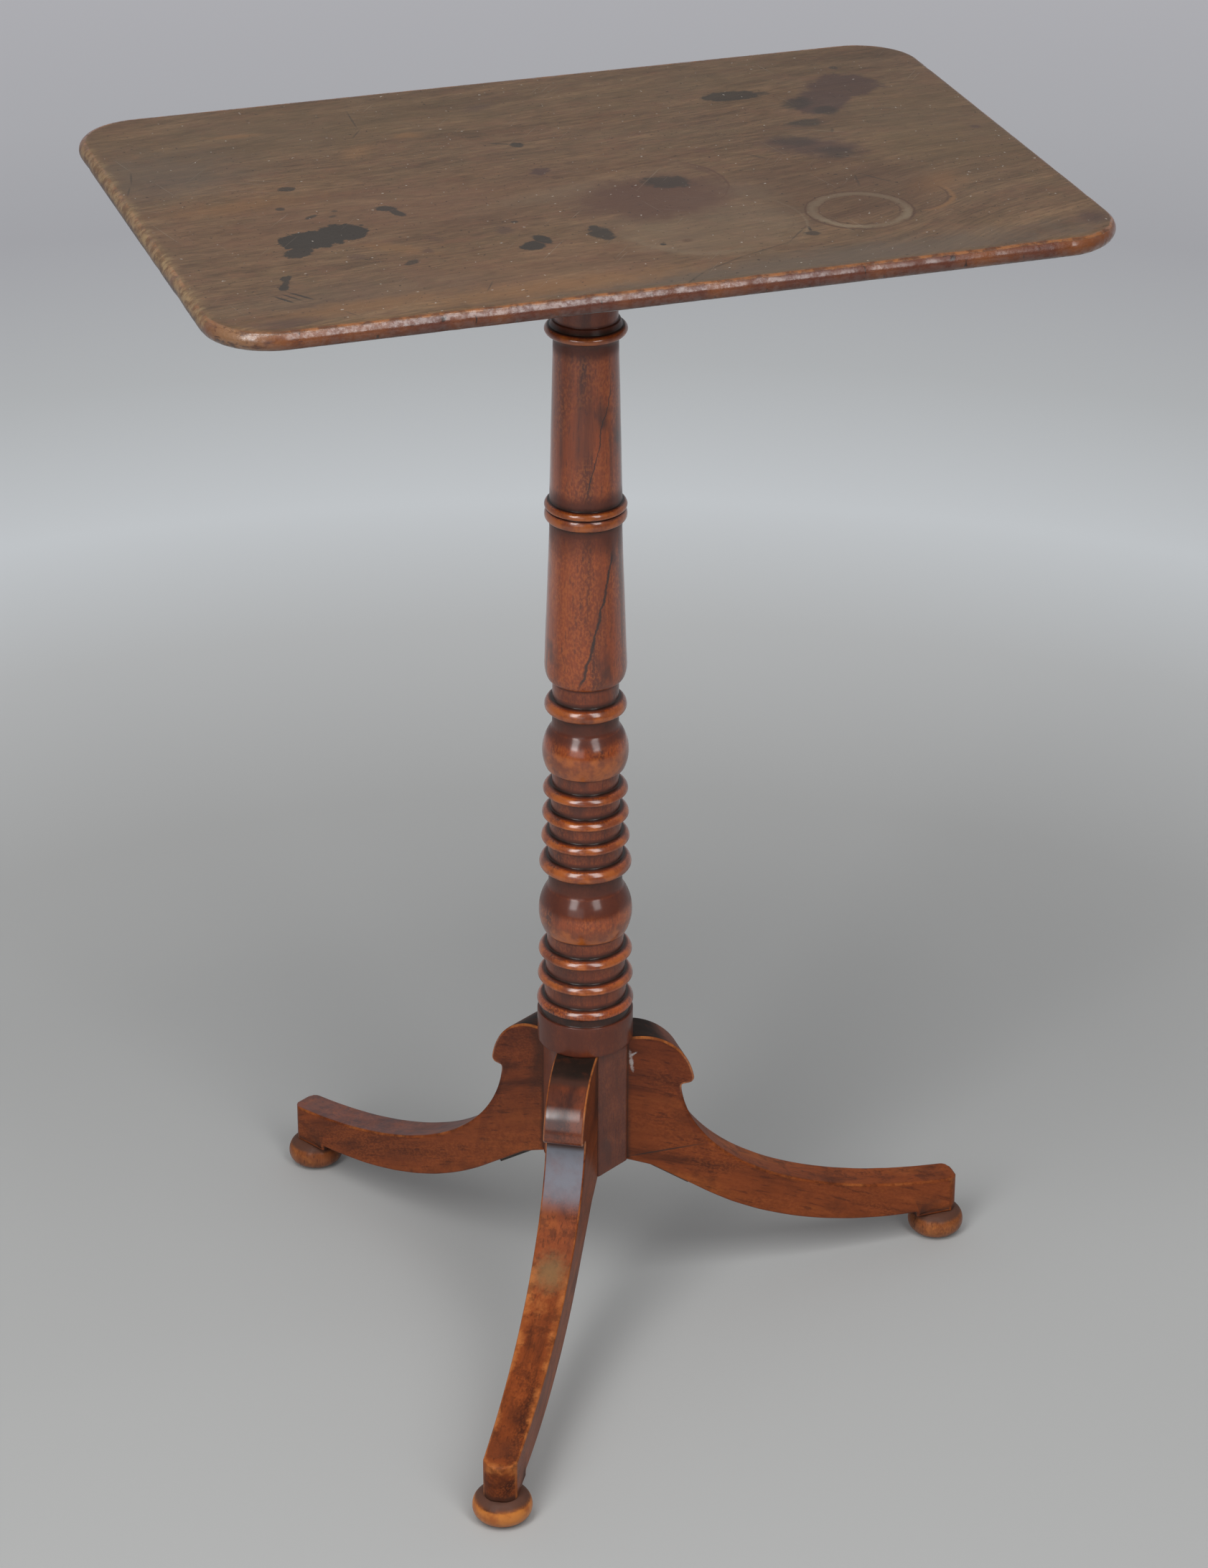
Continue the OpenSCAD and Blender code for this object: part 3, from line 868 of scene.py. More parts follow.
# Each row: place, half-sizes, turn, strength, softness, fray, whether the fray is fine, tint
STAINS = (
    Stain(-212, 70, 38, 32, 0, 0.55, 0.8, 0.8, False, Tint.GREY),
    Stain(-120, 120, 115, 34, 2, 0.4, 0.8, 1.0, False, Tint.OLIVE),
    Stain(100, 130, 90, 24, 4, 0.3, 0.8, 1.0, False, Tint.OLIVE),
    Stain(205, 20, 42, 62, 0, 0.45, 0.9, 0.9, False, Tint.OLIVE),
    Stain(-95, -18, 120, 36, 5, 0.35, 0.9, 1.0, False, Tint.REDDISH),
    Stain(-55, -120, 90, 26, 3, 0.3, 0.9, 1.0, False, Tint.REDDISH),
    Stain(75, -160, 130, 17, 3, 0.7, 0.6, 0.8, False, Tint.GREY),
    Stain(-160, -130, 60, 18, 0, 0.3, 0.9, 0.9, False, Tint.GREY),
    Stain(38, -91, 51, 42, 0, 0.3, 0.24, 0.45, False, Tint.PALE),
    Stain(-14, -20, 42, 10, 12, 0.25, 0.9, 1.0, False, Tint.PALE),
    Stain(70, -50, 20, 12, -48, 0.4, 0.7, 0.9, False, Tint.PALE),
    Stain(172, -68, 17, 10, 30, 0.5, 0.8, 1.0, False, Tint.ORANGE),
    Stain(-72, 92, 8, 4, 0, 0.5, 0.7, 1.0, True, Tint.ORANGE),
    Stain(-162, 119, 13, 2.6, -3, 0.45, 0.7, 1.0, True, Tint.ORANGE),
    Stain(-105, 75, 12, 6, 40, 0.3, 0.8, 1.0, True, Tint.ORANGE),
    Stain(-62, -150, 62, 9, 2, 0.55, 0.8, 1.0, True, Tint.ORANGE),
    Stain(-165, -146, 45, 7, 4, 0.45, 0.8, 1.0, True, Tint.ORANGE),
    Stain(-190, 10, 40, 8, 4, 0.35, 0.9, 1.0, True, Tint.ORANGE),
    Stain(122, -60, 53, 49, 0, 0.42, 0.25, 0.4, False, Tint.BROWN),
    Stain(-125, -75, 18, 5, -35, 0.35, 0.8, 1.0, True, Tint.ORANGE),
    Stain(25, -44, 43, 32, 0, 0.85, 0.4, 0.5, False, Tint.RED),
    Stain(18, -32, 20, 14, -20, 0.4, 0.7, 0.8, False, Tint.BROWN),
    Stain(20, -63, 16, 9, 0, 0.4, 0.7, 0.8, False, Tint.BROWN),
    Stain(72, 20, 5, 5, 0, 0.4, 0.6, 0.8, True, Tint.RED),
    Stain(183.5, 97, 22.5, 19, 25, 0.74, 0.2, 0.8, False, Tint.MAUVE),
    Stain(163, 76, 21, 16, 42, 0.78, 0.2, 0.8, False, Tint.MAUVE),
    Stain(186, 93, 3, 4, 0, 0.55, 0.6, 0.6, True, Tint.OLIVE),
    Stain(131, 5, 27, 14.5, -38, 0.7, 0.45, 0.8, False, Tint.MAUVE),
    Stain(-21.3, 14, 6.5, 5, 25, 0.8, 0.3, 1.3, True, Tint.MAUVE),
    Stain(-66, -65, 4.5, 5, 0, 0.5, 0.5, 1.2, True, Tint.MAUVE),
    Stain(-148.7, -79.7, 4, 4, 0, 0.45, 0.5, 1.2, True, Tint.MAUVE),
    Stain(-112.5, -82, 3.5, 3.5, 0, 0.5, 0.5, 1.2, True, Tint.MAUVE),
    Stain(-104, -66, 3, 5, 30, 0.3, 0.6, 1.0, True, Tint.MAUVE),
    Stain(-16.3, 2.3, 2.4, 2.4, 0, 0.6, 0.4, 0.8, True, Tint.BROWN),
    Stain(-21, 125, 8, 4, 20, 0.45, 0.8, 0.9, True, Tint.MAUVE),
    Stain(18.7, -109, 3.2, 2.4, 0, 0.55, 0.4, 0.6, True, Tint.BROWN),
    Stain(-28.7, -114, 3.4, 1.4, 15, 0.55, 0.4, 0.6, True, Tint.BROWN),
    Stain(231, -141, 7, 9, 0, 0.6, 0.8, 0.9, True, Tint.MAUVE),
    Stain(-207, -157, 14, 6, 0, 0.6, 0.8, 1.0, True, Tint.MAUVE),
    Stain(228, 9.7, 3, 3, 0, 0.6, 0.6, 0.8, True, Tint.MAUVE),
    Stain(-164, -48.5, 18, 13, 6, 0.94, 0.07, 0.62, True),
    Stain(-145.5, -42.3, 12, 12.2, 0, 0.94, 0.07, 0.55, True),
    Stain(-175, -64.5, 8.5, 6.5, 35, 0.9, 0.12, 0.6, True),
    Stain(-115.5, -15.5, 5.5, 4, -30, 0.85, 0.2, 0.8, True),
    Stain(-111.3, -23.5, 6.5, 3, -68, 0.85, 0.2, 0.8, True),
    Stain(-156.2, 29, 5.2, 3.2, 10, 0.8, 0.25, 1.0, True),
    Stain(-168, 0.8, 2.5, 2.5, 0, 0.75, 0.3, 0.6, True),
    Stain(-156.2, -16, 4.4, 1.6, 35, 0.75, 0.3, 0.7, True),
    Stain(-142, -11, 1.6, 1.4, 0, 0.6, 0.4, 0.6, True),
    Stain(-145, -18.5, 2.2, 1.2, 20, 0.6, 0.4, 0.6, True),
    Stain(-58.7, -92, 7, 6, 0, 0.92, 0.12, 0.6, True),
    Stain(-51.3, -85, 3.8, 7.5, 15, 0.9, 0.15, 0.6, True),
    Stain(-20, -86, 6.4, 9.5, 0, 0.86, 0.2, 0.9, True),
    Stain(-21, -77, 2.6, 4, 0, 0.85, 0.3, 0.8, True),
    Stain(-20.5, 58.5, 3.6, 4, 0, 0.8, 0.25, 0.8, True),
    Stain(-28, 63, 6.5, 1, -28, 0.6, 0.5, 0.6, True),
    Stain(-191.5, -99, 5.5, 2.6, 62, 0.85, 0.2, 1.0, True),
    Stain(-195, -109.5, 5, 2.9, 72, 0.88, 0.2, 1.0, True),
    Stain(-193, -104.5, 6.5, 2.0, 68, 0.8, 0.25, 1.0, True),
    Stain(-124.5, -96, 5.2, 2.8, 25, 0.72, 0.3, 1.2, True),
    Stain(-57.5, -55.2, 1.8, 1.6, 0, 0.7, 0.3, 0.6, True),
    Stain(118.5, 99.7, 17, 8, -2, 0.82, 0.16, 0.5, True),
    Stain(134, 99, 6, 3.6, -8, 0.6, 0.4, 0.6, True),
    Stain(149, 77, 10, 8, 40, 0.6, 0.4, 0.7, True),
    Stain(160, 61, 7.5, 7, 0, 0.6, 0.35, 0.6, True),
    Stain(141.7, 44.7, 10.5, 5.8, 0, 0.62, 0.4, 0.6, True),
    Stain(125, 17, 11, 8, -30, 0.45, 0.5, 0.8, True),
    Stain(141, -5, 10, 7.5, -30, 0.45, 0.5, 0.8, True),
    Stain(37.5, -22.5, 14, 9, -18, 0.74, 0.25, 0.8, True),
    Stain(83, -119, 4.2, 2.8, -20, 0.7, 0.25, 1.0, True),
    Stain(84.3, -113, 4.5, 0.8, 80, 0.6, 0.4, 0.5, True),
    Stain(5, -110.5, 1.6, 1.6, 0, 0.9, 0.3, 0.4, True),
    Stain(190.5, 128.5, 2.4, 3, 0, 0.6, 0.4, 0.8, True),
    Stain(151, 28, 3.6, 0.8, 70, 0.5, 0.5, 0.6, True),
    Stain(75.5, -118, 12.5, 0.5, 49, 0.5, 0.6, 0.9, True),
    Stain(52.5, -133.5, 16.5, 0.5, 22.6, 0.5, 0.6, 0.9, True),
    Stain(25, -146.5, 14.5, 0.6, 29, 0.5, 0.6, 0.9, True),
    Stain(4.3, -161, 11.5, 0.6, 43, 0.45, 0.6, 0.9, True),
    Stain(-199.5, -126, 6, 0.8, -58, 0.9, 0.5, 0.6, True),
    Stain(-195, -124, 6.5, 0.7, -57, 0.8, 0.5, 0.6, True),
    Stain(-190.5, -123, 7.5, 0.8, -54, 0.9, 0.5, 0.6, True),
    Stain(-94, 127, 14, 0.45, 86, 0.55, 0.6, 0.5, True),
    Stain(-98, 103, 7, 0.45, 58, 0.5, 0.6, 0.5, True),
    Stain(-231, 71, 8, 0.5, 78, 0.5, 0.6, 0.5, True),
    Stain(-237, 51, 6, 0.5, 72, 0.5, 0.6, 0.5, True),
    Stain(-97, -140, 6.5, 0.45, 62, 0.5, 0.6, 0.5, True),
    Stain(-173, -154, 5, 0.45, -60, 0.45, 0.6, 0.5, True),
    Stain(97, 1, 6, 0.6, -50, 0.6, 0.5, 0.6, True),
    Stain(145, -49.7, 9, 0.6, -56, 0.5, 0.6, 0.7, True),
    Stain(134.5, -52, 8, 0.7, 78, 0.4, 0.6, 0.7, True),
)
# Each row: centre, radius, width, direction, spread, strength, tint
RING_MARKS = (
    RingMark(119.2, -94.2, 24.8, 4.6, 100, 175, 0.85, Tint.PALE),
    RingMark(119.2, -94.2, 28.4, 1.6, 110, 180, 0.95),
    RingMark(119.2, -94.2, 21.3, 1.4, 120, 180, 0.8),
    RingMark(27.5, -26, 41, 1.6, -12, 60, 0.85, Tint.RED),
    RingMark(27.5, -26, 38, 4.5, -20, 60, 0.6, Tint.RED),
    RingMark(151, -81, 22, 1.2, -35, 65, 0.7),
    RingMark(151, -81, 24.5, 2.6, -25, 55, 0.6, Tint.ORANGE),
    RingMark(38, -86, 46, 8.0, -125, 50, 0.42, Tint.PALE),
    RingMark(38, -91, 50, 1.6, 20, 60, 0.45, Tint.PALE),
    RingMark(60, -94, 21, 0.8, -30, 130, 0.25),
    RingMark(118, -88, 5.5, 0.6, 160, 80, 0.4),
)


@dataclass(frozen=True)
class TopFinish:
    """Faded, waxed and stained mahogany of the board."""

    dark: Color = (0.074, 0.042, 0.023)
    middle: Color = (0.115, 0.067, 0.036)
    light: Color = (0.158, 0.093, 0.049)
    straw: Color = (0.26, 0.18, 0.092)
    straw_dark: Color = (0.12, 0.072, 0.035)
    low_grey: Color = (0.055, 0.05, 0.048)
    low_grey_light: Color = (0.16, 0.11, 0.075)
    tan: Color = (0.2, 0.108, 0.054)
    tan_dark: Color = (0.05, 0.03, 0.02)
    golden: Color = (0.22, 0.084, 0.028)
    golden_dark: Color = (0.09, 0.034, 0.015)
    low_edge: Color = (0.085, 0.025, 0.014)
    low_orange: Color = (0.15, 0.048, 0.016)
    low_dark: Color = (0.07, 0.025, 0.016)
    # Near-black of nicks, cracks and specks, and the painted shade where the edge turns under.
    nick_and_shade: Color = (0.016, 0.01, 0.008)
    dust: Color = (0.42, 0.38, 0.33)
    scratch: Color = (0.3, 0.24, 0.18)
    under: Color = (0.11, 0.05, 0.028)
    roughness: float = 0.42
    coat_rough: float = 0.17
    coat_ior: float = 1.6
    specular: float = 0.24
    relief: float = 0.00012

    def material(self, groups: Groups) -> bpy.types.Material:
        """Builds the board's material.

        Args:
            groups: the shared groups.

        Returns:
            The material.
        """
        material, g, shader = new_material("faded_top")
        place = g.place()
        along = self.flow(g, place)
        colors = {"Dark": self.dark, "Middle": self.middle, "Light": self.light}
        sizes = {"Stripe Scale": 60.0, "Stretch": 0.13, "Fibre": 0.8, "Pore": 0.45}
        grain = groups["grain"].place(g, {"Vector": along} | colors | sizes)
        color = self.marks(g, groups, place, self.mottled(g, place, along, grain["Color"]))
        specks = g.ramp(g.noise(place, 420.0, 2.0, 0.5), 0.68, 0.73)
        color = g.mix(g.times(specks, 0.7), color, self.nick_and_shade)
        dust = g.ramp(g.noise(g.vector("ADD", place, (3.0, 1.0, 0.0)), 430.0, 1.0, 0.5), 0.755, 0.79)
        color = g.mix(g.times(dust, 0.6), color, self.dust)
        scratches = self.scratches(g, place)
        color = g.mix(g.times(scratches, 0.22), color, self.scratch)
        color, polished = self.edge(g, place, color)
        under = g.mask(Surface.UNDER)
        color = g.mix(under, color, g.mix(0.5, grain["Color"], self.under))
        g.links.new(color, shader.inputs["Base Color"])
        rough = g.lerp(g.noise(place, 14.0, 4.0, 0.6), self.roughness - 0.08, self.roughness + 0.12)
        rough = g.minus(g.plus(rough, g.times(under, 0.25)), g.times(polished, 0.08))
        g.links.new(rough, shader.inputs["Roughness"])
        uneven = g.lerp(g.ramp(g.noise(place, 330.0, 4.0, 0.7), 0.38, 0.62), 0.25, 1.0)
        g.links.new(g.times(polished, uneven), shader.inputs["Coat Weight"])
        shader.inputs["Coat Roughness"].default_value = self.coat_rough
        shader.inputs["Coat IOR"].default_value = self.coat_ior
        shader.inputs["Specular IOR Level"].default_value = self.specular
        relief = g.plus(g.times(grain["Height"], 0.5), g.times(scratches, -0.8))
        relief = g.plus(relief, g.times(polished, g.noise(place, 420.0, 4.0), 3.0))
        bump(g, shader, relief, self.relief)
        return material

    def flow(self, g: Graph, place: Socket) -> Socket:
        """The place measured along and across the wood's figure.

        Along is x. Across is y - t x plus a slow sway, where t goes from 0.1 over most of the board to 0.34
        towards the right front corner.

        Args:
            g: the material's graph.
            place: object coordinates.

        Returns:
            A vector of the two measures.
        """
        x, y, _ = g.parted(place)
        corner = g.times(g.ramp(x, 0.06, 0.2), g.inverse(g.ramp(y, -0.1, 0.03)))
        lean = g.times(g.lerp(corner, 0.1, 0.34), x)
        sway = g.centred(g.noise(g.stretched(place, 0.7, 1.0, 1.0), 8.0, 1.0), 0.035)
        return g.joined(x, g.plus(g.minus(y, lean), sway))

    def mottled(self, g: Graph, place: Socket, along: Socket, color: Socket) -> Socket:
        """Lays red streaks, brown and olive clouds and fine specks on the grain.

        Args:
            g: the material's graph.
            place: object coordinates.
            along: the place along and across the figure.
            color: the grain's colour.

        Returns:
            The new colour.
        """
        streak = g.ramp(g.noise(g.stretched(along, 0.09, 1.0, 1.0), 150.0, 3.0, 0.6), 0.54, 0.68)
        red = g.ramp(g.noise(g.stretched(place, 0.6, 1.0, 1.0), 11.0, 2.0), 0.42, 0.62)
        cloud = g.ramp(g.noise(g.stretched(along, 0.5, 1.0, 1.0), 75.0, 4.0, 0.62), 0.5, 0.72)
        patch = g.noise(g.stretched(place, 0.6, 1.0, 1.0), 95.0, 6.0, 0.72)
        speckle = g.noise(g.stretched(place, 0.4, 1.0, 1.0), 480.0, 4.0, 0.7)
        layers = (
            (g.times(streak, red), 0.5, Tint.REDDISH),
            (cloud, 0.4, Tint.BROWN),
            (g.ramp(patch, 0.5, 0.64), 0.42, Tint.REDDISH),
            (g.inverse(g.ramp(patch, 0.34, 0.48)), 0.35, Tint.OLIVE),
            (g.ramp(speckle, 0.54, 0.68), 0.4, Tint.BROWN),
            (g.inverse(g.ramp(speckle, 0.32, 0.44)), 0.3, Tint.ORANGE),
        )
        for mask, strength, tint in layers:
            color = g.mix(g.times(mask, strength), color, tint.value)
        return color

    def marks(self, g: Graph, groups: Groups, place: Socket, color: Socket) -> Socket:
        """Lays all stains and ring marks on the colour, tint by tint.

        Args:
            g: the material's graph.
            groups: the shared groups.
            place: object coordinates.
            color: the wood's colour.

        Returns:
            The stained colour.
        """
        coarse = g.centred(g.noise(place, 62.0, 5.0, 0.66), 1.9)
        fine = g.centred(g.noise(place, 115.0, 3.0, 0.6), 1.5)
        fine = g.plus(fine, g.centred(g.noise(place, 340.0, 3.0, 0.6), 0.9))
        for tint in Tint:
            chosen = [mark for mark in (*STAINS, *RING_MARKS) if mark.tint is tint]
            masks = [mark.mask(g, groups, place, fine if mark.fine else coarse) for mark in chosen]
            if masks:
                color = g.mix(g.most(*masks), color, tint.value)
        return color

    def edge(self, g: Graph, place: Socket, color: Socket) -> tuple[Socket, Socket]:
        """Colours the rounded edge by how far up it a point lies.

        From the top down: the board's own brown, a grainy golden line, dark red-brown with specks and, where
        the edge turns under, a near-black painted shade. The left end is worn to straw above and darker grey
        below.

        Args:
            g: the material's graph.
            place: object coordinates.
            color: the board's colour.

        Returns:
            The new colour and the mask of the polished edge.
        """
        rough_wood = g.noise(g.stretched(place, 0.5, 0.5, 1.0), 240.0, 4.0, 0.65)
        wander = g.noise(g.stretched(place, 1.0, 1.0, 0.0), 24.0, 3.0, 0.6)
        x, y, _ = g.parted(place)
        shift = g.plus(g.centred(rough_wood, 0.22), g.centred(wander, 0.3))
        shift = g.minus(shift, g.times(g.ramp(y, 0.13, 0.165), 0.28))
        up = g.plus(g.mask(Surface.ROUND), shift)
        gold = g.band(up, 0.48, 0.56, 0.68, 0.82)
        low = g.inverse(g.ramp(up, 0.46, 0.58))
        rim = g.most(gold, low)
        golden = g.mix(g.ramp(rough_wood, 0.4, 0.6), self.golden_dark, self.golden)
        outward = g.ramp(g.math("ABSOLUTE", x), 0.08, 0.24)
        orange = g.ramp(g.plus(wander, g.times(outward, 0.22)), 0.46, 0.7)
        low_wood = g.mix(orange, self.low_edge, self.low_orange)
        low_wood = g.mix(g.ramp(rough_wood, 0.6, 0.72), low_wood, self.low_dark)
        cracks = g.ramp(g.noise(g.stretched(place, 1.0, 1.0, 0.12), 330.0, 2.0, 0.6), 0.68, 0.73)
        dents = g.ramp(g.noise(place, 95.0, 3.0, 0.6), 0.66, 0.7)
        low_wood = g.mix(g.times(g.most(cracks, dents), 0.8), low_wood, self.nick_and_shade)
        # Painted shade: near-black where the edge turns under.
        low_wood = g.mix(g.inverse(g.ramp(up, -0.8, -0.45)), low_wood, self.nick_and_shade)
        color = g.mix(gold, g.mix(low, color, low_wood), golden)
        ragged = g.noise(g.stretched(place, 0.5, 1.0, 1.0), 170.0, 5.0, 0.7)
        reach = g.minus(x, g.times(g.plus(ragged, g.times(wander, 1.6)), 0.008))
        middle = g.band(g.plus(y, g.centred(wander, 0.06)), -0.165, -0.13, 0.12, 0.165)
        left = g.times(g.inverse(g.ramp(reach, -0.256, -0.247)), middle)
        streaky = g.noise(g.stretched(place, 0.35, 1.0, 1.0), 230.0, 4.0, 0.65)
        straw = g.mix(g.ramp(streaky, 0.4, 0.6), self.straw_dark, self.straw)
        # Darker grey on the lower half of the left end.
        low_grey = g.mix(g.ramp(rough_wood, 0.45, 0.6), self.low_grey, self.low_grey_light)
        straw = g.mix(g.inverse(g.ramp(up, -0.2, 0.25)), straw, low_grey)
        color = g.mix(g.times(left, 0.85), color, straw)
        corner = g.times(g.inverse(g.ramp(x, -0.236, -0.205)), g.inverse(g.ramp(y, -0.155, -0.135)))
        tan = g.mix(g.ramp(rough_wood, 0.5, 0.62), self.tan, self.tan_dark)
        color = g.mix(g.times(corner, rim, 0.8), color, tan)
        return color, g.times(rim, g.inverse(left))

    def scratches(self, g: Graph, place: Socket) -> Socket:
        """Fine scratches: three fields of very long thin cells, each turned its own way, kept in patches.

        Args:
            g: the material's graph.
            place: object coordinates.

        Returns:
            The mask of the scratches.
        """
        fields = []
        for turn, scale, seed in ((0.5, 40.0, 0.37), (-0.9, 34.0, 4.1), (1.35, 38.0, 7.9)):
            moved = g.vector("ADD", g.stretched(g.turned(place, turn), 0.5, 26.0, 1.0), (seed, seed, 0.0))
            thin = g.ramp(g.noise(moved, scale, 1.0, 0.3), 0.72, 0.75)
            patch = g.ramp(g.noise(g.vector("ADD", place, (seed, 0.0, 0.0)), 16.0, 2.0), 0.56, 0.66)
            fields.append(g.times(thin, patch))
        return g.most(*fields)


class Part(Enum):
    """Parts that the polish dresses in its own way."""

    COLUMN = "column"
    LEG = "leg"
    FOOT = "foot"


@dataclass(frozen=True)
class PolishFinish:
    """Red-brown polished mahogany of the column, the legs and the feet."""

    name: str
    dark: Color
    middle: Color
    light: Color
    fleck: Color
    rubbed: Color
    rubbed_dark: Color
    # Dull dirt colour, and the near-black of the deepest darkening: dirt and painted shade in the creases.
    grime_and_shade: Color
    deep: Color = (0.012, 0.008, 0.006)
    # Painted shade that darkens and cools the knee near the column.
    knee_shade: Color = (0.66, 0.64, 0.8)
    # Blue-grey painted reflection under the front leg's nose, also the grey dust of the back leg's run.
    sheen_and_dust: Color = (0.18, 0.19, 0.22)
    split: Color = (0.014, 0.008, 0.007)
    split_lean: float = 11.5
    split_from: float = 0.417
    split_at: float = -2.02
    split_step: float = -1.15
    stripe_scale: float = 55.0
    stretch: float = 0.05
    patch_scale: float = 85.0
    fleck_amount: float = 0.6
    cloud_amount: float = 0.6
    rub_amount: float = 0.9
    grime_and_shade_amount: float = 0.92
    roughness: float = 0.32
    coat_ior: float = 1.6
    coat_rough: float = 0.14
    specular: float = 0.08
    relief: float = 0.00006
    part: Part = Part.LEG

    def material(self, groups: Groups) -> bpy.types.Material:
        """Builds the polish.

        Args:
            groups: the shared groups.

        Returns:
            The material.
        """
        material, g, shader = new_material(self.name)
        vector, place = g.mask(Surface.GRAIN, "Vector"), g.place()
        inputs = {"Vector": vector, "Dark": self.dark, "Middle": self.middle, "Light": self.light}
        inputs |= {"Stripe Scale": self.stripe_scale, "Stretch": self.stretch, "Fibre": 0.3, "Pore": 0.5}
        grain = groups["grain"].place(g, inputs)
        inputs = {"Vector": vector, "Color": grain["Color"], "Fleck Color": self.fleck}
        inputs |= {"Cloud Color": self.dark, "Fleck": self.fleck_amount, "Cloud": self.cloud_amount}
        color = groups["fleck"].place(g, inputs)["Color"]
        # Painted shade: the legs' knees are darkened and cooled near the column.
        if self.part is Part.LEG:
            color = g.mix(g.inverse(g.mask(Surface.UNSHADED)), color, self.knee_shade, "MULTIPLY")
        inputs = {"Vector": place, "Color": color, "Patch Scale": self.patch_scale}
        inputs |= {"Rub": g.mask(Surface.RUB), "Rubbed Color": self.rubbed, "Rubbed Dark": self.rubbed_dark}
        inputs |= {"Grime": g.mask(Surface.GRIME_AND_SHADE), "Grime Color": self.grime_and_shade, "Deep Color": self.deep}
        inputs |= {"Rub Amount": self.rub_amount, "Grime Amount": self.grime_and_shade_amount}
        worn = groups["wear"].place(g, inputs)
        color = worn["Color"]
        if self.part is Part.COLUMN:
            color = g.mix(g.times(self.shaft_split(g, place), 0.85), color, self.split)
        if self.part is Part.LEG:
            color = self.leg_marks(g, groups, place, color)
        g.links.new(color, shader.inputs["Base Color"])
        rough = g.lerp(g.noise(place, 45.0, 4.0, 0.6), self.roughness - 0.06, self.roughness + 0.12)
        g.links.new(g.plus(rough, g.times(worn["Grimed"], 0.1)), shader.inputs["Roughness"])
        clean = g.inverse(g.times(worn["Grimed"], 0.6))
        g.links.new(g.times(clean, g.inverse(g.mask(Surface.DULL))), shader.inputs["Coat Weight"])
        shader.inputs["Coat Roughness"].default_value = self.coat_rough
        shader.inputs["Coat IOR"].default_value = self.coat_ior
        shader.inputs["Specular IOR Level"].default_value = self.specular
        bump(g, shader, g.plus(grain["Height"], g.times(g.noise(place, 130.0, 3.0), 0.6)), self.relief)
        return material

    def leg_marks(self, g: Graph, groups: Groups, place: Socket, color: Socket) -> Socket:
        """Adds the mottling of the worn faces, the pale painted reflection and dust, and the marks of the
        right and front legs.

        The hairline and the glue lie on the right leg's side, so their place is read as (x, z) where y is
        below -10 mm and x is above 20 mm. The olive patch lies on the front leg's dull upper face.

        Args:
            g: the material's graph.
            groups: the shared groups.
            place: object coordinates.
            color: the wood's colour.

        Returns:
            The new colour.
        """
        dull_face = g.ramp(g.mask(Surface.DULL), 0.85, 0.98)
        blotch = g.ramp(g.noise(place, 105.0, 5.0, 0.68), 0.51, 0.62)
        color = g.mix(g.times(blotch, g.lerp(dull_face, 0.18, 0.5)), color, self.dark)
        # Painted blue-grey reflection under the front leg's nose and grey dust on the back leg's run, in
        # clouds.
        clouds = g.lerp(g.ramp(g.noise(place, 110.0, 3.0), 0.35, 0.6), 0.82, 1.0)
        color = g.mix(g.times(g.mask(Surface.BLOOM), clouds), color, self.sheen_and_dust)
        x, y, z = g.parted(place)
        side = g.joined(x, z)
        here = g.times(g.ramp(x, 0.019, 0.021), g.inverse(g.ramp(y, -0.0105, -0.0095)))
        fray = g.centred(g.noise(place, 400.0, 3.0, 0.6), 1.6)
        for mark in SIDE_MARKS:
            color = g.mix(g.times(mark.mask(g, groups, side, fray), here), color, mark.tint.value)
        patch = g.times(KNEE_MARK.mask(g, groups, place, fray), dull_face)
        return g.mix(patch, color, KNEE_MARK.tint.value)

    def shaft_split(self, g: Graph, place: Socket) -> Socket:
        """The dark split that winds down both shafts at their front.

        Its angle about the axis grows evenly with the height and sways with a noise. Above the pair of rings
        it starts anew further to the right. The mask falls to 0 within a tenth of a radian of its line.

        Args:
            g: the material's graph.
            place: object coordinates.

        Returns:
            The mask of the split.
        """
        x, y, height = g.parted(place)
        only_z = g.joined(z=height)
        upper = g.ramp(height, 0.508, 0.512)
        lean = g.times(g.minus(height, self.split_from), self.split_lean)
        line = g.plus(lean, self.split_at, g.times(upper, self.split_step))
        sway = g.centred(g.noise(only_z, 45.0, 5.0, 0.65), 0.5)
        away = g.math("ABSOLUTE", g.minus(g.math("ARCTAN2", y, x), g.plus(line, sway)))
        width = g.times(g.noise(only_z, 150.0, 2.0), g.lerp(upper, 0.11, 0.05))
        near = g.inverse(g.ramp(away, g.times(width, 0.3), width))
        between = g.band(height, 0.494, 0.499, 0.532, 0.538)
        return g.times(near, g.inverse(between), g.band(height, 0.414, 0.422, 0.59, 0.606))


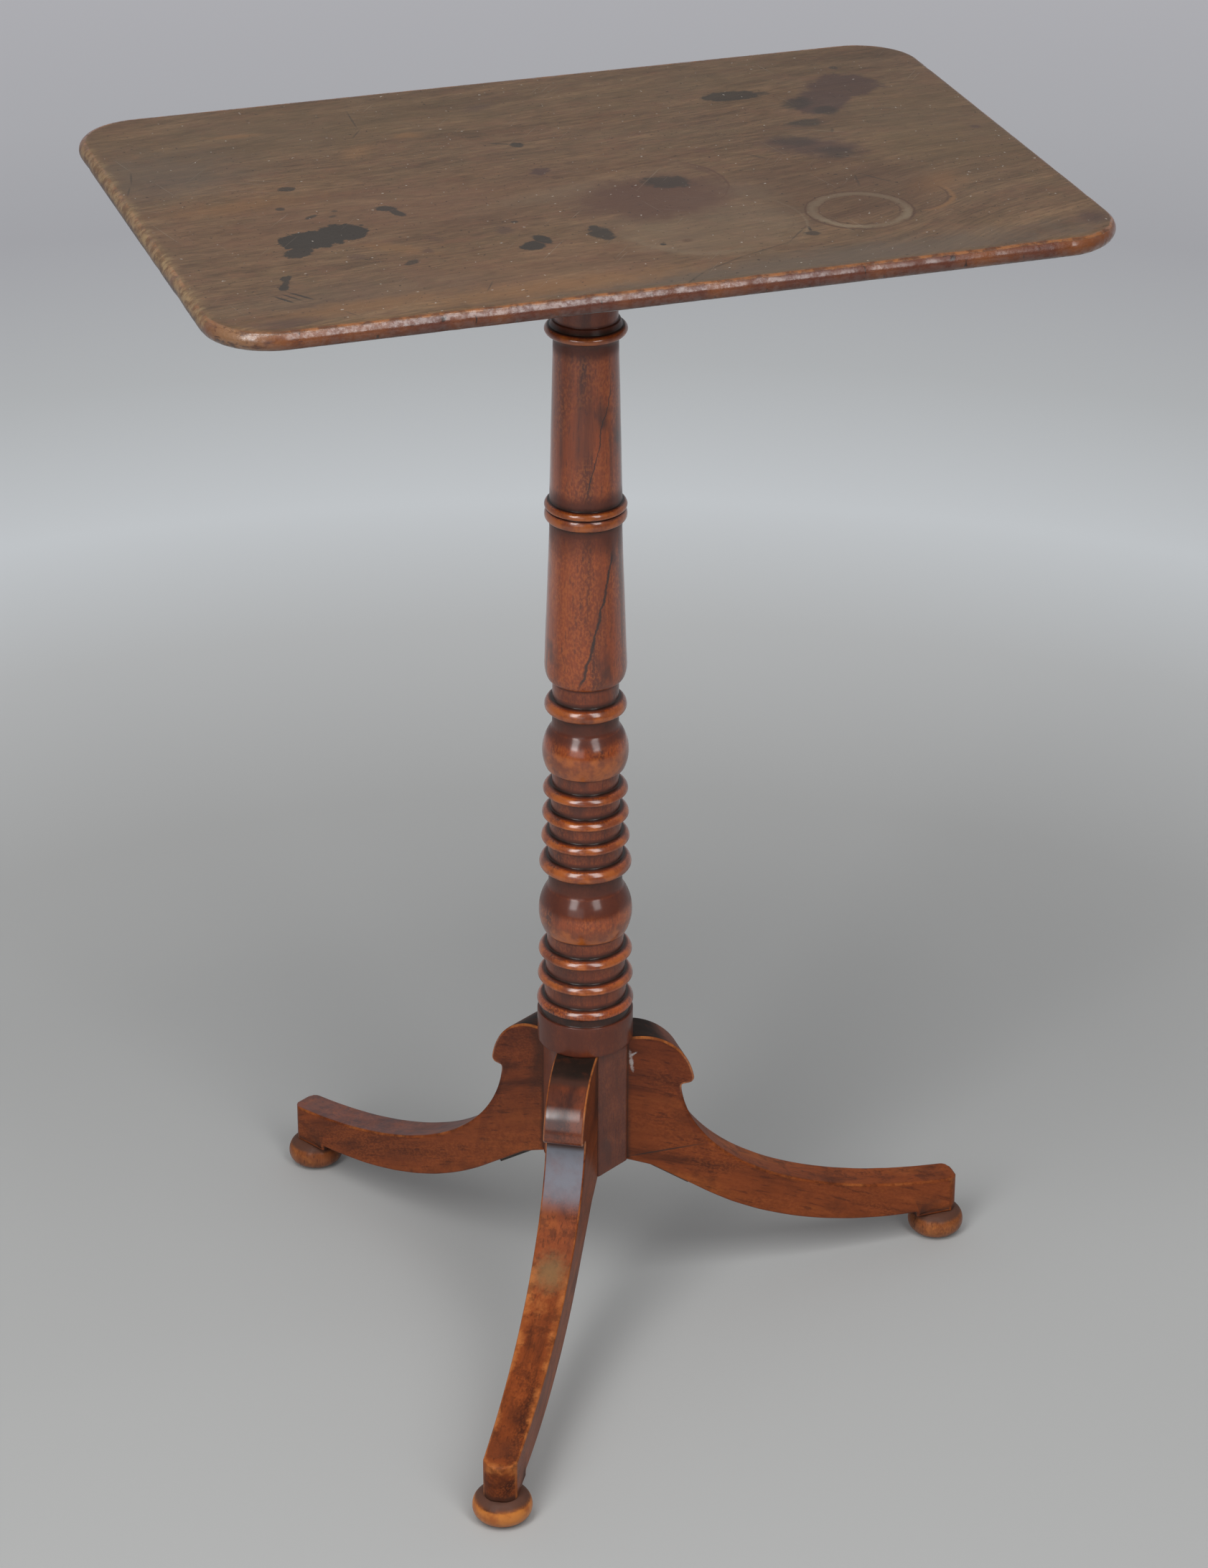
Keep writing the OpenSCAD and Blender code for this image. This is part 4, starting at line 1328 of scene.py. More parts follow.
KNEE_MARK = Stain(-50.2, -87.0, 8, 8, -120, 0.6, 0.8, 0.8, False, Tint.MOSS)
SIDE_MARKS = (
    Stain(46, 99.3, 23, 0.55, -1.0, 0.75, 0.5, 0.5, True, Tint.INK),
    Stain(24.6, 164.5, 5.2, 1.0, 98.0, 0.6, 0.6, 1.5, True, Tint.GLUE),
    Stain(26.0, 169.5, 1.8, 0.7, 20.0, 0.6, 0.5, 1.5, True, Tint.GLUE),
    Stain(226, 26, 2.2, 1.8, 0.0, 0.7, 0.3, 0.5, True, Tint.BROWN),
)
COLUMN_FINISH = PolishFinish(
    name="turned_mahogany",
    dark=(0.055, 0.013, 0.006),
    middle=(0.235, 0.042, 0.006),
    light=(0.345, 0.069, 0.009),
    fleck=(0.46, 0.115, 0.014),
    rubbed=(0.37, 0.092, 0.013),
    rubbed_dark=(0.165, 0.036, 0.01),
    grime_and_shade=(0.082, 0.022, 0.013),
    fleck_amount=0.35,
    cloud_amount=0.8,
    coat_ior=1.68,
    coat_rough=0.17,
    part=Part.COLUMN,
)
LEG_FINISH = PolishFinish(
    name="leg_mahogany",
    dark=(0.055, 0.016, 0.008),
    middle=(0.195, 0.045, 0.012),
    light=(0.27, 0.07, 0.016),
    fleck=(0.34, 0.085, 0.02),
    rubbed=(0.4, 0.13, 0.034),
    rubbed_dark=(0.25, 0.068, 0.017),
    grime_and_shade=(0.05, 0.021, 0.014),
    stripe_scale=42.0,
    stretch=0.12,
    fleck_amount=0.3,
    cloud_amount=0.5,
    roughness=0.42,
)
FOOT_FINISH = PolishFinish(
    name="bun_mahogany",
    dark=(0.05, 0.02, 0.012),
    middle=(0.2, 0.06, 0.02),
    light=(0.3, 0.1, 0.03),
    fleck=(0.36, 0.13, 0.035),
    rubbed=(0.5, 0.175, 0.036),
    rubbed_dark=(0.34, 0.1, 0.022),
    grime_and_shade=(0.085, 0.04, 0.028),
    deep=(0.04, 0.024, 0.018),
    fleck_amount=0.3,
    roughness=0.4,
    part=Part.FOOT,
)


@dataclass(frozen=True)
class BlockFinish:
    """Unpolished secondary wood of the block and the wedge."""

    dark: Color = (0.13, 0.07, 0.037)
    middle: Color = (0.2, 0.115, 0.06)
    light: Color = (0.28, 0.165, 0.09)
    low_grey: Color = (0.06, 0.035, 0.022)

    def material(self, groups: Groups) -> bpy.types.Material:
        """Builds the plain wood.

        Args:
            groups: the shared groups.

        Returns:
            The material.
        """
        material, g, shader = new_material("plain_wood")
        place = g.place()
        inputs = {"Vector": place, "Dark": self.dark, "Middle": self.middle, "Light": self.light}
        grain = groups["grain"].place(g, inputs | {"Stripe Scale": 40.0, "Pore": 0.5})
        cloud = g.noise(place, 12.0, 3.0)
        color = g.mix(g.times(g.ramp(cloud, 0.45, 0.7), 0.5), grain["Color"], self.low_grey)
        g.links.new(color, shader.inputs["Base Color"])
        g.links.new(g.lerp(cloud, 0.6, 0.8), shader.inputs["Roughness"])
        bump(g, shader, grain["Height"], 0.0002)
        return material


@dataclass(frozen=True)
class IronFinish:
    """Dark wrought iron with a little rust, or the brighter steel of a screw."""

    name: str
    metal: Color
    rust: Color
    rust_share: float
    roughness: float

    def material(self) -> bpy.types.Material:
        """Builds the metal.

        Returns:
            The material.
        """
        material, g, shader = new_material(self.name)
        place = g.place()
        patch = g.noise(place, 120.0, 5.0, 0.65)
        rusty = g.times(g.ramp(patch, 0.5, 0.68), self.rust_share)
        g.links.new(g.mix(rusty, self.metal, self.rust), shader.inputs["Base Color"])
        g.links.new(g.minus(0.85, rusty), shader.inputs["Metallic"])
        g.links.new(g.lerp(patch, self.roughness - 0.1, self.roughness + 0.2), shader.inputs["Roughness"])
        bump(g, shader, g.noise(place, 420.0, 4.0, 0.6), 0.00012)
        return material


BRACE_FINISH = IronFinish(
    name="wrought_iron",
    metal=(0.09, 0.082, 0.075),
    rust=(0.09, 0.04, 0.02),
    rust_share=0.6,
    roughness=0.55,
)
SCREW_FINISH = IronFinish(
    name="old_steel",
    metal=(0.3, 0.28, 0.25),
    rust=(0.12, 0.06, 0.03),
    rust_share=0.4,
    roughness=0.4,
)


def new_material(name: str) -> tuple[bpy.types.Material, Graph, bpy.types.Node]:
    """Makes a material.

    Args:
        name: name of the material.

    Returns:
        The material, its graph and its Principled BSDF.
    """
    material = bpy.data.materials.new(name)
    material.use_nodes = True
    return material, Graph(material.node_tree), material.node_tree.nodes["Principled BSDF"]


def bump(g: Graph, shader: bpy.types.Node, height: Socket, distance: float) -> None:
    """Feeds a height through a Bump node into the shader's normal."""
    node = g.add("ShaderNodeBump", {"Height": height, "Distance": distance, "Strength": 1.0})
    g.links.new(node.outputs[0], shader.inputs["Normal"])


# Sub-assemblies


@dataclass
class Board:
    """The rectangular top with its rounded edge."""

    sizes: TopSizes = TopSizes()
    corner_points: int = 40
    side_step: float = 2.0
    edge_points: int = 15
    under_rings: tuple[float, ...] = (32.0, 20.0, 9.0, 6.6)
    top_rings: tuple[float, ...] = (6.6, 9.0, 14.0, 20.0, 32.0)
    dents: int = 70
    seed: int = 5

    def outline(self) -> tuple[Array, Array]:
        """The board's outline from above.

        Returns:
            Points of the rounded rectangle, anticlockwise, and the outward direction at each.
        """
        s = self.sizes
        half = np.array([s.length / 2 - s.corner, s.width / 2 - s.corner])
        signs = np.array([[1, -1], [1, 1], [-1, 1], [-1, -1]])
        points, normals = [], []
        for k, sign in enumerate(signs):
            a = np.radians(np.linspace(-90 + 90 * k, 90 * k, self.corner_points))
            direction = np.stack([np.cos(a), np.sin(a)], 1)
            points.append(sign * half + s.corner * direction)
            normals.append(direction)
            start, end = points[-1][-1], signs[(k + 1) % 4] * half + s.corner * direction[-1]
            count = int(np.linalg.norm(end - start) / self.side_step)
            share = np.linspace(0.0, 1.0, count, endpoint=False)[1:, None]
            points.append(start + share * (end - start))
            normals.append(np.repeat(direction[-1:], count - 1, 0))
        return np.concatenate(points), np.concatenate(normals)

    def nicks(self, count: int) -> Array:
        """Small dents along the edge: a sum of narrow bells d exp(-(t / w)^2) at random places.

        Args:
            count: points of the outline.

        Returns:
            The depth of the dents at each point, in mm.
        """
        rng = np.random.default_rng(self.seed)
        at = rng.uniform(0, count, self.dents)
        wide = rng.uniform(1.0, 3.0, self.dents)
        deep = rng.uniform(0.08, 0.45, self.dents)
        step = np.abs(np.arange(count)[:, None] - at)
        step = np.minimum(step, count - step)
        return (deep * np.exp(-((step / wide) ** 2))).sum(1)

    def build(self, material: bpy.types.Material) -> bpy.types.Object:
        """Builds the board: rings of its outline, set in by d at the height z, from the underside to the top.

        The edge is half an oval, d = e - e cos a and z = e + e sin a for a from -90 to 90 degrees, with e
        half the board's thickness. Nicks push it in where it stands out most.

        Args:
            material: the board's finish.

        Returns:
            The board.
        """
        s = self.sizes
        edge = s.thick / 2
        a = np.radians(np.linspace(-90, 90, self.edge_points))
        below, above = np.zeros(len(self.under_rings)), np.zeros(len(self.top_rings))
        inset = np.concatenate([self.under_rings, edge - edge * np.cos(a), self.top_rings])
        height = np.concatenate([below, edge + edge * np.sin(a), above + s.thick])
        out = np.concatenate([below, np.cos(a), above])
        outline, normal = self.outline()
        depth = inset[:, None] + out[:, None] * self.nicks(len(outline))[None, :]
        xy = outline[None] - normal[None] * depth[..., None]
        z = np.broadcast_to(s.height - s.thick + height[:, None], depth.shape)
        points = np.concatenate([xy, z[..., None]], -1).reshape(-1, 3)
        faces = strip_faces(*depth.shape).tolist() + end_faces(*depth.shape)
        smooth = np.ones(len(faces), bool)
        inward = 1.1 + 0.15 * np.arange(len(above))
        up = np.concatenate([below - 1.3, np.linspace(-1, 1, self.edge_points), inward])
        under = np.concatenate([below + 1, np.linspace(0.3, -4.0, self.edge_points).clip(0), above])
        columns = len(outline)
        masks = {Surface.ROUND: np.repeat(up, columns), Surface.UNDER: np.repeat(under, columns)}
        return dress(put_mesh("board", points, faces, smooth, masks), material, "top_wood", "tabletop")


@dataclass
class Column:
    """The turned column from its six-sided hub to the capital.

    The rows of its outline hold radius, height, rub, dirt-and-shade darkening and the share of the six-sided
    shape.
    """

    sizes: ColumnSizes = ColumnSizes()
    spokes: int = 144
    corner_cut: float = 0.35
    longest_side: float = 4.0
    chip: float = 0.08
    chip_from: float = 1.7
    chip_seed: int = 9
    sway: float = 0.1
    sway_seed: int = 3

    def ring(self, z: float, h: float, lip: float, r_out: float, r_neck: float, worn: float = 0.7) -> Array:
        """A ring, worn on its round, dark on top and near-black at its neck with dirt and painted shade: a
        round lip below, a quarter oval up to the neck above.

        Args:
            z, h: foot and height of the ring.
            lip: radius of the lip.
            r_out, r_neck: radius of the ring and of the neck above it.
            worn: how far it is rubbed.

        Returns:
            The rows of the ring's outline.
        """
        rub = worn * np.array([0, 0.4, 0.7, 1, 1, 1])
        low = marked(arc(r_out - lip, z + lip, lip, -90, 0, 6), rub, [0.7, 0.3, 0, 0, 0, 0])
        a = np.linspace(0.0, 90.0, 9)[1:]
        high = oval_quarter(r_neck, r_out, z + lip, h - lip, 9)[1:]
        high = marked(high, worn * smooth_step(a, 66, 40), 0.95 * smooth_step(a, 48, 78))
        return np.concatenate([low, high])

    def neck(self, r: float, low: float, high: float) -> Array:
        """A neck, dull with dirt in its middle and near-black at both ends, where dirt and painted shade fill
        the creases.
        """
        points = [[r, low + 1.5], [r, low + 3.0], [r, high - 2.2], [r, high]]
        return marked(points, 0.0, [0.8, 0.4, 0.38, 0.85])

    def turned_set(self, t: TurnedSet, worn_to: float) -> Array:
        """Three small rings, a ball cut flat below and run into its neck with a hollow, and a large ring.

        Args:
            t: the set's sizes.
            worn_to: angle above the ball's middle up to which it is rubbed.

        Returns:
            The rows of the set's outline.
        """
        s = self.sizes
        parts = []
        ball_foot = t.foot + 2 * t.pitch + s.ring_h + s.short_neck
        for k in range(3):
            neck = t.neck_r - k * s.neck_taper
            low = t.foot + k * t.pitch
            worn = t.first_worn if k == 0 else 0.7
            parts.append(self.ring(low, s.ring_h, s.ring_lip, t.ring_r - k * s.ring_taper, neck, worn))
            parts.append(self.neck(neck, low + s.ring_h, low + t.pitch if k < 2 else ball_foot))
        z = ball_foot + t.ball_cut
        side = t.top_neck_r + s.ball_fillet
        rise = math.sqrt((t.ball_r + s.ball_fillet) ** 2 - side**2)
        touch = math.degrees(math.atan2(rise, side))
        a = np.linspace(-math.degrees(math.asin(t.ball_cut / t.ball_r)), touch, 26)
        worn = 0.72 * smooth_step(a, worn_to + 9, worn_to - 9)
        soiled = 0.6 * smooth_step(a, worn_to - 2, worn_to + 22)
        parts.append(marked(arc(0, z, t.ball_r, a[0], touch, 26), worn, soiled))
        hollow = arc(side, z + rise, s.ball_fillet, 180 + touch, 180, 8)[1:]
        parts.append(marked(hollow, 0, np.linspace(0.45, 0.7, 7)))
        parts.append(marked([[t.top_neck_r, z + t.ball_rise]], 0, 0.8))
        parts.append(self.ring(z + t.ball_rise, s.big_ring_h, s.big_ring_lip, t.big_ring_r, t.next_neck_r))
        return np.concatenate(parts)

    def base(self) -> list[Array]:
        """The hub, its round band, the two turned sets and the waist between them and the shafts.

        Returns:
            The rows of the outline, piece by piece.
        """
        s = self.sizes
        flats = [[s.hub_flat, s.hub_lift], [s.hub_flat, s.hub_top - 6], [s.hub_flat, s.hub_top]]
        band = [[s.base_r, s.hub_top], [s.base_r, s.hub_top + 2], [s.base_r, s.base_top]]
        return [
            marked(flats, 0, [0.5, 0.44, 0.5], 1),
            marked(band, 0, [0.6, 0.52, 0.57]),
            # The near-black cove above the band is dirt and painted shade.
            marked([[s.cove_r, s.base_top], [s.cove_r, s.low_set.foot]], 0, 0.9),
            self.turned_set(s.low_set, 0.0),
            self.neck(s.low_set.next_neck_r, s.up_set.foot - s.short_neck, s.up_set.foot),
            self.turned_set(s.up_set, 13.0),
            self.neck(s.waist_r, s.waist_z, s.waist_z + s.waist_h),
        ]

    def shafts(self) -> list[Array]:
        """The shaft with its swelled foot, the pair of rings and the lower end of the second shaft.

        The swell's radius is r + (R - r) sin a and its height z + h (1 - cos a), for a from 0 to 90 degrees.

        Returns:
            The rows of the outline, piece by piece.
        """
        s = self.sizes
        shoulder = s.waist_z + s.waist_h
        pair = shoulder + s.low_shaft_h
        middle = pair + s.pair_low_h + 0.5
        groove_r = s.pair_r - s.pair_groove
        a = np.radians(np.linspace(0, 90, 9))
        swell_r = s.shoulder_r + (s.swell_r - s.shoulder_r) * np.sin(a)
        swell = np.stack([swell_r, shoulder + s.swell_h * (1 - np.cos(a))], 1)
        low_top, up_low = s.low_shaft_top_r, s.up_shaft_low_r
        up_end = middle + s.pair_up_h
        shaft = [[low_top + 0.9, pair - 30], [low_top, pair - 4.5], [low_top + 0.4, pair]]
        return [
            marked(swell, 0.0, np.linspace(0.35, 0.0, 9)),
            marked(shaft, 0, [0.0, 0.5, 0.9]),
            self.ring(pair, s.pair_low_h, 2.5, s.pair_r, groove_r),
            marked([[groove_r, middle]], 0, 0.9),
            self.ring(middle, s.pair_up_h, 1.3, s.pair_r, up_low),
            marked([[up_low - 0.1, up_end + 4], [up_low - 0.3, up_end + 14]], 0, [0.55, 0.0]),
        ]

    def head(self) -> list[Array]:
        """The upper end of the second shaft, the collar, the band, the neck and the capital.

        Returns:
            The rows of the outline, piece by piece.
        """
        s = self.sizes
        ledge = s.block_low - s.neck_h
        collar = ledge - s.band_h - s.collar_h
        foot = collar - s.cavetto_h
        capital = s.block_low - s.capital_h
        cove = capital - s.capital_cove
        cavetto_r = s.collar_r - s.collar_h / 2
        cavetto = oval_quarter(s.up_shaft_top_r, cavetto_r, foot, s.cavetto_h, 7, hollow=True)
        flare = oval_quarter(s.neck_r, s.neck_r + s.capital_cove, cove, s.capital_cove, 9, hollow=True)
        return [
            marked([[s.up_shaft_top_r + 0.2, foot - 10]], 0, 0.05),
            marked(cavetto, 0, 0.75),
            self.ring(collar, s.collar_h, s.collar_h / 2.1, s.collar_r, s.neck_r + 2.3),
            marked([[s.neck_r + 1.2, ledge]], 0, 0.7),
            self.neck(s.neck_r, ledge - 1.4, cove),
            marked(flare, 0, 0.6),
            marked([[s.capital_r, capital], [s.capital_r, s.block_low]], 0, 0.6),
        ]

    def build(self, material: bpy.types.Material) -> bpy.types.Object:
        """Turns the outline, a little uneven as hand work is.

        The hub's radius at the angle a is f / cos(b), with f the distance of its flats and b the angle from
        the nearest flat's middle; its corners are cut off a little.

        Args:
            material: the column's polish.

        Returns:
            The column.
        """
        s = self.sizes
        corners = without_doubles(np.concatenate([*self.base(), *self.shafts(), *self.head()]))
        rows = subdivided(softened(corners, self.corner_cut), self.longest_side)
        r, z, rub, grime_and_shade, six = rows.T
        angle = np.linspace(0.0, 2 * math.pi, self.spokes, endpoint=False)
        off = np.radians((np.degrees(angle) + 30.0) % 60.0 - 30.0)
        six_r = np.minimum(s.hub_flat / np.cos(off), s.hub_corner)
        share = np.clip(six, 0, 1)[:, None]
        sway = waver(angle[None, :], z[:, None], self.sway_seed, self.sway)
        uneven = -np.abs(sway) * (r > s.neck_r - 1.0)[:, None]
        draws = np.random.default_rng(self.chip_seed).normal(0.0, 1.0, (len(rows), self.spokes))
        chips = np.maximum(0.0, draws - self.chip_from)
        uneven = (uneven - self.chip * rub[:, None] * chips) * (1 - share)
        radius = (r[:, None] + uneven) * (1 - share) + (six_r[None, :] + r[:, None] - s.hub_flat) * share
        corner = smooth_step(six_r, s.hub_corner - 0.5, s.hub_corner)[None, :] * share
        masks = {
            Surface.RUB: np.maximum(rub[:, None] * np.ones_like(radius), 0.45 * corner * (z > 104)[:, None]),
            Surface.GRIME_AND_SHADE: grime_and_shade,
            Surface.DULL: np.zeros_like(z),
        }
        flat = (six > 0.99) & (np.roll(six, -1) > 0.99)
        turned = lathe("turned_column", radius, z, np.zeros(2), masks, flat)
        return dress(turned, material, "turned_wood", "column")


@dataclass
class Leg:
    """One scrolled leg that runs from the column along +X before it is turned into place."""

    name: str
    turn: float
    sizes: LegSizes = LegSizes()
    edge: float = 1.1
    corner_cut: float = 1.2
    longest_side: float = 5.0
    grain_slope: float = -24.0
    sway: float = 0.12
    seed: int = 1
    sheen_and_dust: float = 0.0
    dusty: float = 0.0
    worn: float = 0.3

    def outline(self) -> Array:
        """The leg's side outline, clockwise seen from -Y, from the shoulder's top to its foot on the column.

        Returns:
            The points, one row of x and z each.
        """
        s = self.sizes
        nose_x = s.scroll_at + math.sqrt(s.scroll_r**2 - s.nose_lift**2)
        nose_z = s.scroll_z + s.nose_lift
        start = math.degrees(math.acos((s.hub_flat - s.scroll_at) / s.scroll_r))
        end = math.degrees(math.asin(s.nose_lift / s.scroll_r))
        throat = np.array([nose_x - s.nose_over, nose_z - s.nose_r - s.throat_drop])
        heel = np.array([s.toe_end - s.pad_len, s.pad_z + s.pad_step])
        spring = np.array([s.hub_flat + s.spring_run, s.hub_lift - s.spring_fall])
        fall = math.radians(s.seat_slope)
        seat = np.array([s.seat_end, spring[1] - (s.seat_end - spring[0]) * math.tan(fall)])
        seat_pull = seat + s.seat_pull * np.array([math.cos(fall), -math.sin(fall)])
        throat_pull = throat + [s.throat_reach, -s.throat_pull]
        instep = [s.toe_end - s.instep_pull, s.toe_top + s.instep_lift]
        parts = [
            arc(s.scroll_at, s.scroll_z, s.scroll_r, start, end, 40),
            arc(nose_x - s.nose_r, nose_z, s.nose_r, -15, -90, 8),
            [[throat[0], nose_z - s.nose_r]],
            cubic(throat, throat_pull, instep, [s.toe_end - s.toe_edge, s.toe_top], 70),
            arc(s.toe_end - s.toe_edge, s.toe_top - s.toe_edge, s.toe_edge, 75, 0, 6),
            [[s.toe_end, s.pad_z], [heel[0], s.pad_z]],
            cubic(heel, heel + [-s.heel_pull, 2.0], seat_pull, seat, 70),
            [spring, [s.hub_flat, s.hub_lift]],
        ]
        corners = without_doubles(np.concatenate([np.asarray(p, float) for p in parts]))
        return subdivided(softened(corners, self.corner_cut), self.longest_side)

    def build(self, material: bpy.types.Material) -> bpy.types.Object:
        """Carries the side outline across the leg's thickness and closes both sides.

        Across, a row is set in by e - e cos a at y = T/2 - e + e sin a, so the long edges are rounded with
        the radius e. T falls evenly from the knee to the toe. The toe's end is held inside a circle in plan,
        and the inner end stands on the hub's flat.

        Args:
            material: the legs' polish.

        Returns:
            The leg.
        """
        s = self.sizes
        outline = self.outline()
        ahead = np.roll(outline, -1, 0) - np.roll(outline, 1, 0)
        ahead[0], ahead[-1] = outline[1] - outline[0], outline[-1] - outline[-2]
        normal = np.stack([-ahead[:, 1], ahead[:, 0]], 1) / np.linalg.norm(ahead, axis=1)[:, None]
        a = np.radians([0, 22.5, 45, 67.5, 90])
        inset = np.concatenate([self.edge * (1 - np.cos(a)), [self.edge + 1.0]])
        side = np.concatenate([-self.edge + self.edge * np.sin(a), [0.0]])
        inset = np.concatenate([inset[::-1], np.zeros(7), inset])
        share = np.concatenate([-np.ones(6), np.linspace(-1, 1, 9)[1:-1], np.ones(6)])
        shift = np.concatenate([-side[::-1], np.zeros(7), side])
        point = outline[None] - normal[None] * inset[:, None, None]
        ends = s.toe_end - s.toe_round + math.sqrt(s.toe_round**2 - s.toe_thick**2 / 4)
        along = np.clip((point[..., 0] - s.base_r) / (ends - s.base_r), 0.0, 1.0)
        half = (s.knee_thick + (s.toe_thick - s.knee_thick) * along) / 2
        y = share[:, None] * half + shift[:, None]
        sway = waver(outline[None, :, 0] / 30.0, y * 4.0, self.seed, self.sway)
        point = point - normal[None] * (np.abs(sway) * (inset[:, None] < 2.0))[..., None]
        plan = s.toe_end - s.toe_round + np.sqrt(np.maximum(s.toe_round**2 - y**2, 0.0))
        x, z = np.minimum(point[..., 0], plan), point[..., 1]
        x[:, [0, -1]] = s.hub_flat + 0.03
        local = np.stack([x, y, z], -1).reshape(-1, 3)
        low, high = end_faces(*x.shape)
        faces = strip_faces(*x.shape)[:, ::-1].tolist() + [low[::-1], high[::-1]]
        smooth = np.ones(len(faces), bool)
        smooth[-2:] = False
        masks = self.masks(outline, inset, x, y, z) | {Surface.GRAIN: self.grain(local)}
        turn = math.radians(self.turn)
        cosine, sine = math.cos(turn), math.sin(turn)
        spin = np.array([[cosine, -sine, 0], [sine, cosine, 0], [0, 0, 1]])
        piece = put_mesh(self.name + "_scrolled", local @ spin.T, faces, smooth, masks)
        return dress(piece, material, "leg_wood", self.name)

    def grain(self, local: Array) -> Array:
        """Coordinates whose X runs down the slope from the knee to the toe, set apart for each leg.

        Args:
            local: points of the leg before it is turned.

        Returns:
            The coordinates in metres, one row each.
        """
        slope = math.radians(self.grain_slope)
        along = local[:, 0] * math.cos(slope) + local[:, 2] * math.sin(slope)
        across = -local[:, 0] * math.sin(slope) + local[:, 2] * math.cos(slope)
        return np.stack([along, across, local[:, 1]], 1) * MM + 0.7 * self.seed

    def masks(self, outline: Array, inset: Array, x: Array, y: Array, z: Array) -> dict[Surface, Array]:
        """Rub, darkening, painted reflection and dust, dullness and painted knee shade of the leg.

        The scroll's edges are rubbed and so, less, are the nose, the long edges and the toe's rim. Dirt lies
        on the toe; dirt and painted shade darken the top of the scroll under the band, the throat, the joint
        with the hub and the corner above the foot. A painted blue-grey reflection clouds the upper face under
        the nose, and grey dust the back leg's run. Only the scroll's face keeps its gloss, and painted shade
        darkens and cools the knee by the column.

        Args:
            outline: the side outline.
            inset: how far each row is set in.
            x, y, z: places of the points, for each row and each point of the outline.

        Returns:
            One value for each point and mask.
        """
        s = self.sizes
        rounded = (inset > 0) & (inset < self.edge + 0.5)
        edge = np.where(rounded, 1.0, 0.0)[:, None] * np.ones_like(x)
        upper = (np.arange(len(outline)) < int(0.62 * len(outline))).astype(float)[None, :]
        face = (inset < self.edge + 0.5)[:, None] * upper
        scroll = smooth_step(z, 132, 142) * upper
        bare = face * (1 - edge)
        patchy = 0.75 + 0.25 * np.sin(x / 9.0 + 2.1 * self.seed) * np.sin(x / 23.0 + self.seed)
        flecks = 0.5 + 0.5 * np.sin(x / 17.0 + 1.3 * self.seed) * np.cos(y / 9.0 + x / 41.0)
        run = smooth_step(x, 75, 95) * smooth_step(x, 217, 205)
        near = smooth_step(np.abs(y) * 2 / s.toe_thick, 0.5, 1.0) * face * smooth_step(x, 85, 105)
        toe = np.exp(-(((x - s.toe_end) / 6.0) ** 2)) * smooth_step(z, 30, 36) * smooth_step(z, 33, 36) * face
        long_edge = 0.75 * scroll + self.worn * (1 - scroll) * patchy * upper + 0.15 * (1 - upper)
        rub = edge * long_edge + self.worn * (1.25 * toe + 0.6 * bare * flecks * run + 0.6 * near)
        # Dirt and painted shade: the scroll's top under the band, the throat, the corner above the foot, the
        # hub joint; the toe patch is dirt.
        shoulder = smooth_step(x, 53, 40) * (z > 150.0)
        notch = smooth_step(z, 143, 140) * smooth_step(z, 128, 136) * (x < 64.0)
        toe_patch = smooth_step(x, 205, 220) * smooth_step(x, 235, 230) * (z > 30.0)
        corner = np.exp(-(((z - (s.pad_z + 1.0)) / 3.0) ** 2)) * (x > s.toe_end - s.pad_len - 8)
        inner = smooth_step(x, s.hub_flat + 2.5, s.hub_flat)
        grime_and_shade = face * np.clip(0.95 * shoulder + 0.6 * notch + 0.3 * toe_patch, 0, 1)
        grime_and_shade = np.clip(grime_and_shade + 0.6 * corner + 0.6 * inner, 0, 1) * (1 - 0.75 * edge)
        # Painted reflection: a blue-grey sheen on the upper face under the nose.
        cloud = self.sheen_and_dust * smooth_step(z, 139, 135) * smooth_step(z, 101, 114)
        gloss = scroll * face * smooth_step(z, 165, 159)
        masks = {
            Surface.RUB: np.clip(rub, 0, 1),
            Surface.GRIME_AND_SHADE: grime_and_shade,
            Surface.BLOOM: bare * (cloud + self.dusty * smooth_step(x, 75, 95)),
            Surface.DULL: np.where(face > 0, 1.0, 0.8) * (1 - gloss),
            # 1 away from the knee; the painted knee shade is laid where this falls to 0.
            Surface.UNSHADED: np.maximum(smooth_step(x, 60, 90), smooth_step(z, 101, 98)),
        }
        return {surface: values.ravel() for surface, values in masks.items()}


@dataclass
class Foot:
    """A turned bun foot."""

    name: str
    turn: float
    worn: float = 0.35
    sizes: FootSizes = FootSizes()
    spokes: int = 72

    def build(self, material: bpy.types.Material) -> bpy.types.Object:
        """Turns the bun: r = f + b sin a up to its widest height, f + b cos a above, f being the flat's.

        Args:
            material: the feet's polish.

        Returns:
            The foot.
        """
        s = self.sizes
        flat, bulge = s.radius - s.height / 2, s.height / 2
        a = np.radians(np.linspace(0, 90, 15))
        low = np.stack([flat + bulge * np.sin(a), s.widest * (1 - np.cos(a))], 1)
        high = np.stack([flat + bulge * np.cos(a), s.widest + (s.height - s.widest) * np.sin(a)], 1)
        r, z = np.concatenate([low, high[1:]]).T
        masks = {
            Surface.RUB: self.worn * smooth_step(z, 14.5, 10.5),
            # Darker on the bun's top under the leg and at the floor: dirt and painted shade.
            Surface.GRIME_AND_SHADE: 0.62 * smooth_step(z, 11.5, 15.0) + 0.4 * smooth_step(z, 1.2, 0.0),
            Surface.DULL: 0.55 + 0.4 * smooth_step(z, 9.0, 12.0),
        }
        turn = math.radians(self.turn)
        centre = s.reach * np.array([math.cos(turn), math.sin(turn)])
        radius = np.repeat(r[:, None], self.spokes, 1)
        return dress(lathe(self.name + "_bun", radius, z, centre, masks), material, "turned_wood", self.name)


